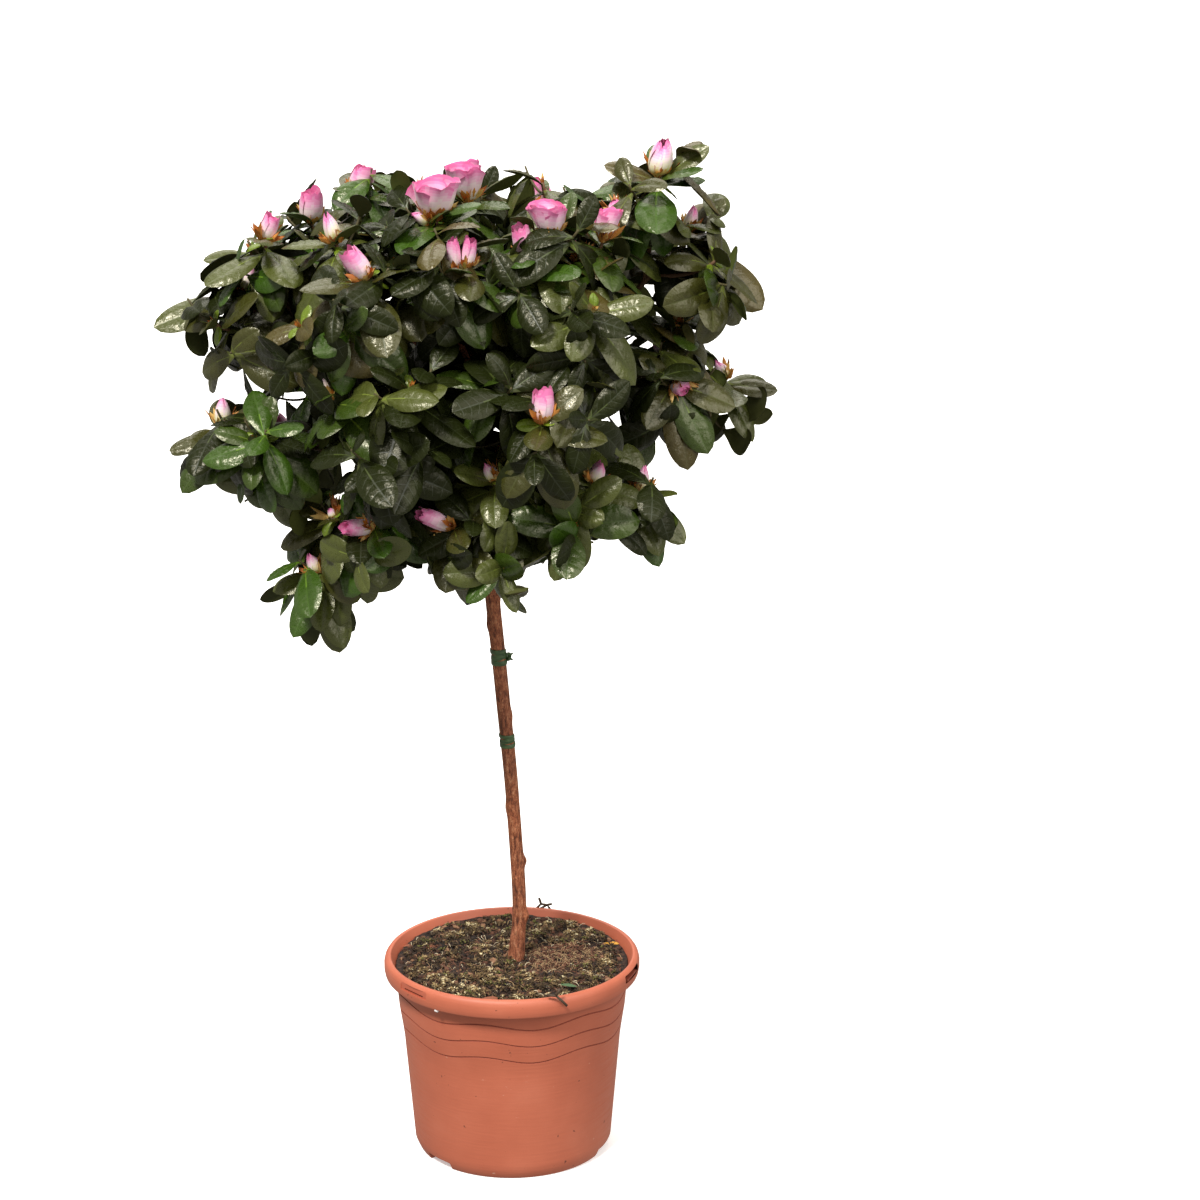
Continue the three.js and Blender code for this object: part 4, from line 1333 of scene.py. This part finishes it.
def build_ties():
    """Bands of tape wound round the stem, the upper one with its knot and two ends."""
    tape = tape_material()
    for name, low, high, knotted in TIES:
        pile = Pile()
        for wrap in range(TIE["wraps"]):
            middle = lerp(low, high, (wrap + 0.5) / TIE["wraps"])
            half = (high - low) / TIE["wraps"] * 0.62
            rows, sides = 9, 48
            angles = angles_round(sides)
            points = []
            for row in range(rows):
                share = 2 * row / (rows - 1) - 1
                height = middle + share * half + 0.9 * np.sin(angles + 2 * wrap)
                height = np.clip(height, low, high)
                bulge = TIE["thickness"] * (1 - 0.75 * share**4) * (0.8 + 0.2 * np.sin(5 * angles + 3 * wrap))
                reach = stem_radius(middle) + bulge - 0.25 * (wrap % 2)
                centre = stem_at(middle)
                x, y = centre[0] + reach * np.cos(angles), centre[1] + reach * np.sin(angles)
                points.append(np.stack([x, y, height], -1))
            pile.add(np.concatenate(points), grid_faces(rows, sides, closed=True))
        if knotted:
            middle = (low + high) / 2
            out = at_bearing(1, TIE["knot_bearing"], 0)
            centre = stem_at(middle) + out * (stem_radius(middle) + 1.6)
            across = np.cross(UP, out)
            turn = np.linspace(0, FULL_TURN, 25)[:, None]
            bow = out * np.cos(turn) * 0.7 + UP * np.sin(turn) + 0.5 * across * np.sin(2 * turn)
            loop = centre + 2.2 * bow
            add_limb(pile, loop, np.full(25, 1.15), 10)
            for way in (unit(out + 0.7 * UP + 0.4 * across), unit(out - 0.5 * UP - 0.5 * across)):
                end = centre + 4.6 * way
                add_limb(pile, np.linspace(centre, end, 6), np.linspace(1.1, 0.7, 6), 8)
        pile.piece(f"{name}_tape", [tape], "tape", [name])


# ---------------------------------------------------------------- pot


def profile_radius(height):
    """The radius of the pot's outside below the rim at a height."""
    below = [(radius, z) for radius, z in POT["outside"] if z <= 136]
    return np.interp(height, [z for _, z in below], [radius for radius, _ in below])


def build_pot():
    """The pot turned as one skin, with three wavy grooves pressed into its wall. Their bottoms are painted
    darker, as painted shade.
    """
    sides = POT["sides"]
    angles = angles_round(sides)
    rows = []

    def add_row(radius, height):
        rows.append((np.zeros(sides) + radius, np.zeros(sides) + height))

    add_row(0.01, 0)
    add_row(40, 0)
    plain = [point for point in POT["outside"] if point[1] <= 73]
    for radius, height in plain:
        add_row(radius, height)
    for height in np.linspace(12, 88, 20):
        add_row(profile_radius(height), height)
    front = np.radians(90 + GROOVE["phase"])
    wave = GROOVE["wave"] * np.cos(GROOVE["waves"] * (angles + front))
    across = np.array([-3, -1, -0.5, 0.5, 1, 3])
    depth = np.array([0, 0, 1, 1, 0, 0])
    sunk_rows = []
    for height in GROOVE["heights"]:
        sunk_rows += [len(rows) + 1, len(rows) + 2, len(rows) + 3]
        for offset, sunk in zip(across * GROOVE["half"], depth * GROOVE["depth"]):
            level = height + offset + wave
            rows.append((profile_radius(level) - sunk, level))
    for radius, height in POT["outside"]:
        if height > 135:
            add_row(radius, height)
    for radius, height in POT["inside"]:
        add_row(radius, height)
    add_row(0.01, POT["floor"])
    points = np.concatenate([np.stack([r * np.cos(angles), r * np.sin(angles), z], -1) for r, z in rows])
    pile = Pile()
    faces = grid_faces(len(rows), sides, closed=True)
    # the faces at the bottoms of the grooves take the darker plastic: painted shade
    pile.add(points, faces, np.isin(faces[:, 0] // sides, sunk_rows))
    pot = pile.piece("pot_shell", [pot_material(), painted_shade_pot_material(), painted_shade_panel_material()], "pot", ["pot"])
    cut_pot(pot)


def box_points(length, depth, height, middle, bearing):
    """A box that stands across a bearing, with its middle at a radius and height on it."""
    angle = math.radians(bearing)
    out = np.array([math.cos(angle), math.sin(angle), 0])
    side = np.array([-math.sin(angle), math.cos(angle), 0])
    centre = out * middle[0] + UP * middle[1]
    corners = []
    for z in (-0.5, 0.5):
        for x, y in ((-0.5, -0.5), (0.5, -0.5), (0.5, 0.5), (-0.5, 0.5)):
            corners.append(centre + out * x * depth + side * y * length + UP * z * height)
    return np.array(corners)


BOX_FACES = np.array([(3, 2, 1, 0), (4, 5, 6, 7), (0, 1, 5, 4), (1, 2, 6, 5), (2, 3, 7, 6), (3, 0, 4, 7)])


def cut_away(piece, pile):
    """Takes the closed shapes of a pile out of a piece. The cut faces take the shapes' materials."""
    mesh = bpy.data.meshes.new("cutter")
    mesh.from_pydata((np.concatenate(pile.points) * MM).tolist(), [], np.concatenate(pile.faces).tolist())
    mesh.polygons.foreach_set("material_index", np.concatenate(pile.paints).astype(np.int32))
    for material in piece.data.materials:
        mesh.materials.append(material)
    cutter = bpy.data.objects.new("cutter", mesh)
    bpy.context.collection.objects.link(cutter)
    cut = piece.modifiers.new("cut", "BOOLEAN")
    cut.operation = "DIFFERENCE"
    cut.object = cutter
    cut.solver = "EXACT"
    shaped = bpy.data.meshes.new_from_object(piece.evaluated_get(bpy.context.evaluated_depsgraph_get()))
    piece.modifiers.clear()
    piece.data = shaped
    bpy.data.objects.remove(cutter)


def cut_pot(pot):
    """Takes the notches out of the foot and the label slots out of the rim."""
    cuts = {name: Pile() for name in LABEL_SLOT}
    for bearing in FEATURE_BEARINGS:
        middle = (NOTCH["inner_radius"] + NOTCH["depth"] / 2, 0)
        notch = box_points(NOTCH["width"], NOTCH["depth"], 2 * NOTCH["height"], middle, bearing)
        cuts["panel"].add(notch, BOX_FACES)
        for name, cut in LABEL_SLOT.items():
            depth = cut["radii"][1] - cut["radii"][0]
            height = cut["heights"][1] - cut["heights"][0]
            middle = (sum(cut["radii"]) / 2, sum(cut["heights"]) / 2)
            box = box_points(cut["length"], depth, height, middle, bearing)
            cuts[name].add(box, BOX_FACES, cut["paint"])
    for pile in cuts.values():
        cut_away(pot, pile)
    shaped = pot.data
    shaped.polygons.foreach_set("use_smooth", np.ones(len(shaped.polygons), bool))
    shaped.set_sharp_from_angle(angle=math.radians(35))


# ---------------------------------------------------------------- compost


def soil_height(x, y):
    radius = np.hypot(x, y)
    rise = SOIL["edge_rise"] * (radius / SOIL["radius"]) ** 2
    hummock = SOIL["hummock"] * np.sin(x / 9 + 2 * np.cos(y / 13)) * np.cos(y / 11)
    heap = SOIL["heap"] + SOIL["back_heap"] * y / SOIL["radius"]
    hummock = hummock * smooth_step(radius, 20, 40) * (1 - smooth_step(radius, 76, 84))
    return SOIL["level"] + rise + heap + hummock


def crumbled(x, y):
    """The surface with its crumbs, a little rough everywhere."""
    rough = np.sin(x * 1.1 + 3 * np.sin(y * 0.37)) * np.sin(y * 1.3 + 2 * np.sin(x * 0.41))
    rough = rough + 0.6 * np.sin(x * 2.3 + 1.5 * np.sin(y * 0.9)) * np.sin(y * 2.1 + 1.2 * np.sin(x))
    return soil_height(x, y) + SOIL["crumble"] * 0.6 * rough


CRUMB_RINGS, CRUMB_SIDES = 4, 6
CRUMB_FACES = grid_faces(CRUMB_RINGS + 1, CRUMB_SIDES, closed=True)


def add_crumb(pile, centre, size, draw, paint):
    """A lump with an uneven skin."""
    tilt = np.linspace(0.12, math.pi - 0.12, CRUMB_RINGS + 1)[:, None]
    around = angles_round(CRUMB_SIDES)[None, :]
    uneven = 1 + 0.3 * np.sin(3 * around + FULL_TURN * draw()) * np.sin(2 * tilt + FULL_TURN * draw())
    stretch = np.array([lerp(0.7, 1.5, draw()), lerp(0.6, 1.1, draw()), lerp(0.5, 0.9, draw())])
    level, height = np.sin(tilt), np.cos(tilt) + 0 * around
    shape = np.stack([level * np.cos(around), level * np.sin(around), height], -1)
    shape = (shape * uneven[..., None]).reshape(-1, 3) * stretch * size
    turn = FULL_TURN * draw()
    cos, sin = math.cos(turn), math.sin(turn)
    x, y, z = shape.T
    pile.add(centre + np.stack([x * cos - y * sin, x * sin + y * cos, z], -1), CRUMB_FACES, paint)


def on_soil(draw, reach=83.0):
    """A place on the compost, clear of the stem."""
    while True:
        radius = reach * math.sqrt(draw())
        angle = FULL_TURN * draw()
        x, y = radius * math.cos(angle), radius * math.sin(angle)
        if math.hypot(x - STEM["line"][0][0], y - STEM["line"][0][1]) > STEM["flare_radius"] + 1.5:
            return np.array([x, y, float(soil_height(x, y))])


def add_fibre(pile, start, length, thickness, draw, paint):
    """A curled strand that lies on the compost."""
    turn = FULL_TURN * draw()
    bend = lerp(-2.2, 2.2, draw())
    lift = lerp(0.2, 2.4, draw())
    steps = 8
    share = np.linspace(0, 1, steps)
    angle = turn + bend * share
    x = start[0] + np.cumsum(np.cos(angle)) * length / steps
    y = start[1] + np.cumsum(np.sin(angle)) * length / steps
    if np.hypot(x, y).max() > 84:
        return
    z = soil_height(x, y) + 0.7 + lift * np.sin(math.pi * share * lerp(0.6, 1.6, draw()))
    radii = thickness * (1 - 0.6 * share)
    points, faces = tube(np.stack([x, y, z], -1), radii, 4)
    pile.add(points, faces, paint)


MOSS_FACES = np.array([(0, 1, 3, 2), (2, 3, 5, 4)])


def add_moss(pile, centre, size, draw, paints):
    """A domed tuft of tiny curled leaves. paints run from its top down to its foot: from pale tips to near
    black at the foot, partly the moss's own colour and partly painted light and shade.
    """
    for _ in range(int(size * lerp(8, 12, draw()))):
        angle = FULL_TURN * draw()
        share = math.sqrt(draw())
        out = np.array([math.cos(angle), math.sin(angle), 0.0])
        foot = centre + out * share * size + UP * size * 0.6 * (1 - share**2)
        way = unit(out * lerp(-0.4, 1.3, draw()) + UP * lerp(0.1, 1.1, draw()))
        side = unit(np.cross(UP, way) + 0.3 * out) * lerp(0.3, 0.75, draw())
        long = lerp(1.2, 3.0, draw())
        middle = foot + way * long * 0.55
        end = foot + unit(way + 0.8 * out - 0.4 * UP) * long
        points = [foot - side, foot + side, middle - side, middle + side, end - 0.2 * side, end + 0.2 * side]
        depth = min(0.7 * share + 0.45 * draw(), 0.999)
        pile.add(points, MOSS_FACES, paints[int(depth * len(paints))])


def in_peat(place):
    x, y = place[0] - PEAT["place"][0], place[1] - PEAT["place"][1]
    angle = math.atan2(y, x)
    edge = PEAT["radius"] * (1 + 0.2 * math.sin(3 * angle + 1) + 0.12 * math.sin(7 * angle))
    return math.hypot(x, y) < edge


CRUMB_COLOURS = [(0.013, 0.007, 0.005), (0.050, 0.021, 0.012), (0.125, 0.052, 0.030), (0.26, 0.135, 0.075)]
FIBRE_COLOURS = [(0.16, 0.064, 0.036), (0.07, 0.028, 0.015), (0.32, 0.21, 0.11), (0.64, 0.55, 0.38)]
MOSS_COLOURS = [
    (0.66, 0.56, 0.34), (0.32, 0.225, 0.10), (0.14, 0.088, 0.036),
    (0.050, 0.029, 0.012), (0.013, 0.006, 0.003), (0.12, 0.118, 0.024),
]
# From the pale tips to the near-black foot, the tufts' colours are partly the moss's own and partly painted
# light and shade.
MOSSES = [  # each tuft's colours from top to foot
    (0, 1, 2, 3, 4), (1, 2, 2, 3), (5, 2, 3, 3, 4), (2, 3, 3, 4), (1, 5, 3, 4), (0, 0, 1, 2, 3),
]
LITTER_COLOURS = [
    (0.62, 0.31, 0.035), (0.24, 0.075, 0.035), (0.06, 0.12, 0.05), (0.06, 0.035, 0.02), (0.80, 0.76, 0.76),
]
LITTER = [  # fallen leaves: pixels across and down, length, bearing and colour
    (602, 944, 13, 8, 0), (420, 949, 15, 20, 1), (412, 946, 11, 150, 1),
    (561, 984, 13, -20, 2), (478, 1001, 16, 25, 1),
]
TWIGLETS = [  # dead bits of twig: the depth at which they lie, and pixels along them
    (-91, [(547, 995), (556, 996), (562, 1001), (567, 1006)]),
    (-91, [(556, 996), (560, 989)]),
    (90, [(534, 911), (541, 904), (547, 905), (552, 904)]),
    (90, [(541, 904), (539, 898)]),
    (90, [(538, 910), (547, 905), (550, 909)]),
]
LOOSE = {"crumbs": 1600, "fibres": 1500, "moss_leaves": 16500}  # how many lie on the compost
FLECK = (437, 1010, -74)  # a pale fleck on the pot's wall: its pixels, and its depth


def on_plane(across, down, axis, level):
    """The place that a pixel shows on the plane where the coordinate of that axis has that value."""
    ray = line_of_sight(across, down)
    return CAMERA_PLACE + ray * (level - CAMERA_PLACE[axis]) / ray[axis]


def build_litter():
    draw = seeded(SEED * 8500)
    pile = Pile()
    for across, down, length, bearing, paint in LITTER:
        place = on_plane(across, down, 2, SOIL["level"] + SOIL["heap"] + 3)
        shape = LeafShape(draw, length)
        shape.half *= 0.8
        directions = leaf_frame(UP, math.radians(bearing), math.radians(82), 0)
        add_leaf(pile, shape, place, directions, (paint, paint, paint, paint))
    for depth, pixels in TWIGLETS:
        line = np.array([on_plane(across, down, 1, depth) for across, down in pixels])
        add_limb(pile, line, np.full(len(line), 1.0), 5, 3)
    across, down, depth = FLECK
    add_crumb(pile, on_plane(across, down, 1, depth), 2.4, draw, 4)
    pile.piece("litter", materials_of("litter", LITTER_COLOURS, 0.7), "soil")


def build_compost():
    rings, sides = 44, 168
    radius = np.linspace(0.5, SOIL["radius"], rings)[:, None]
    angles = angles_round(sides)[None, :]
    x, y = radius * np.cos(angles), radius * np.sin(angles)
    top = np.stack([x, y, crumbled(x, y)], -1).reshape(-1, 3)
    skirt = np.stack([x[-1] * 0.97, y[-1] * 0.97, np.full(sides, SOIL["level"] - 6)], -1)
    pile = Pile()
    pile.add(np.concatenate([top, skirt]), grid_faces(rings + 1, sides, closed=True))
    pile.piece("compost", [compost_material()], "soil", ["soil"])

    draw = seeded(SEED * 8000)
    crumbs = Pile()
    for _ in range(LOOSE["crumbs"]):
        place = on_soil(draw)
        size = lerp(0.7, 2.6, draw() ** 2) * (0.7 if in_peat(place) else 1)
        paint = int(len(CRUMB_COLOURS) * draw() ** 1.2)
        add_crumb(crumbs, place + UP * 0.25 * size, size, draw, paint)
    crumbs.piece("compost_crumbs", materials_of("crumb", CRUMB_COLOURS, 0.92), "soil")

    fibres = Pile()
    for rank in range(LOOSE["fibres"]):
        place = on_soil(draw)
        if rank % 3 == 0:
            place = at_bearing(PEAT["radius"] * math.sqrt(draw()), 360 * draw(), 0)
            place += np.array([*PEAT["place"], 0.0])
        paint = int(len(FIBRE_COLOURS) * draw() ** 1.4)
        thickness, length = lerp(0.18, 0.42, draw()), lerp(3, 10, draw())
        add_fibre(fibres, place, length, thickness, draw, min(paint, 2) if in_peat(place) else paint)
    fibres.piece("compost_fibres", materials_of("fibre", FIBRE_COLOURS, 0.85), "soil")

    moss = Pile()
    while moss.count < 6 * LOOSE["moss_leaves"]:
        place = on_soil(draw, 81.0)
        if not in_peat(place):
            add_moss(moss, place, lerp(2.0, 5.6, draw()), draw, MOSSES[int(draw() * len(MOSSES))])
    moss.piece("compost_moss", materials_of("moss", MOSS_COLOURS, 0.85), "soil")


# ---------------------------------------------------------------- studio


SUNS = [  # name, bearing, elevation, strength and spread
    ("key", -122, 54, 3.8, 12),
    ("fill", -45, 36, 1.5, 50),
    ("back", 95, 55, 1.5, 50),
]

def add_sun(name, bearing, elevation, strength, spread):
    """A soft, even light from far away, at a bearing round the plant and a height above it."""
    light = bpy.data.lights.new(name, "SUN")
    light.energy = strength
    light.angle = math.radians(spread)
    light.color = (1, 0.97, 0.91)
    lamp = bpy.data.objects.new(name, light)
    way = at_bearing(math.cos(math.radians(elevation)), bearing, math.sin(math.radians(elevation)))
    lamp.rotation_mode = "QUATERNION"
    lamp.rotation_quaternion = Vector(way).to_track_quat("Z", "Y")
    bpy.context.collection.objects.link(lamp)


def build_studio():
    bpy.ops.mesh.primitive_plane_add(size=60)
    floor = bpy.context.object
    floor.name = "floor"
    material, _, shader = new_material("pale floor", (0.86, 0.86, 0.86), 0.9)
    shader.inputs["Specular IOR Level"].default_value = 0.1
    shader.inputs["Emission Color"].default_value = (1, 1, 1, 1)
    shader.inputs["Emission Strength"].default_value = 0.4
    floor.data.materials.append(material)
    floor.visible_diffuse = False
    floor.visible_glossy = False

    world = bpy.data.worlds.new("studio")
    world.use_nodes = True
    background = world.node_tree.nodes["Background"]
    background.inputs["Color"].default_value = (1, 0.96, 0.88, 1)
    background.inputs["Strength"].default_value = 0.4
    bpy.context.scene.world = world
    for sun in SUNS:
        add_sun(*sun)
    bpy.context.scene.view_settings.view_transform = "Standard"

    data = bpy.data.cameras.new("camera")
    data.lens = CAMERA["lens"]
    data.sensor_width = CAMERA["sensor"]
    data.clip_end = 100
    camera = bpy.data.objects.new("camera", data)
    camera.location = Vector(CAMERA["place"]) * MM
    camera.rotation_euler = CAMERA_TURN
    bpy.context.collection.objects.link(camera)
    bpy.context.scene.camera = camera


build_crown()
build_stem_and_boughs()
build_ties()
build_pot()
build_compost()
build_litter()
build_studio()
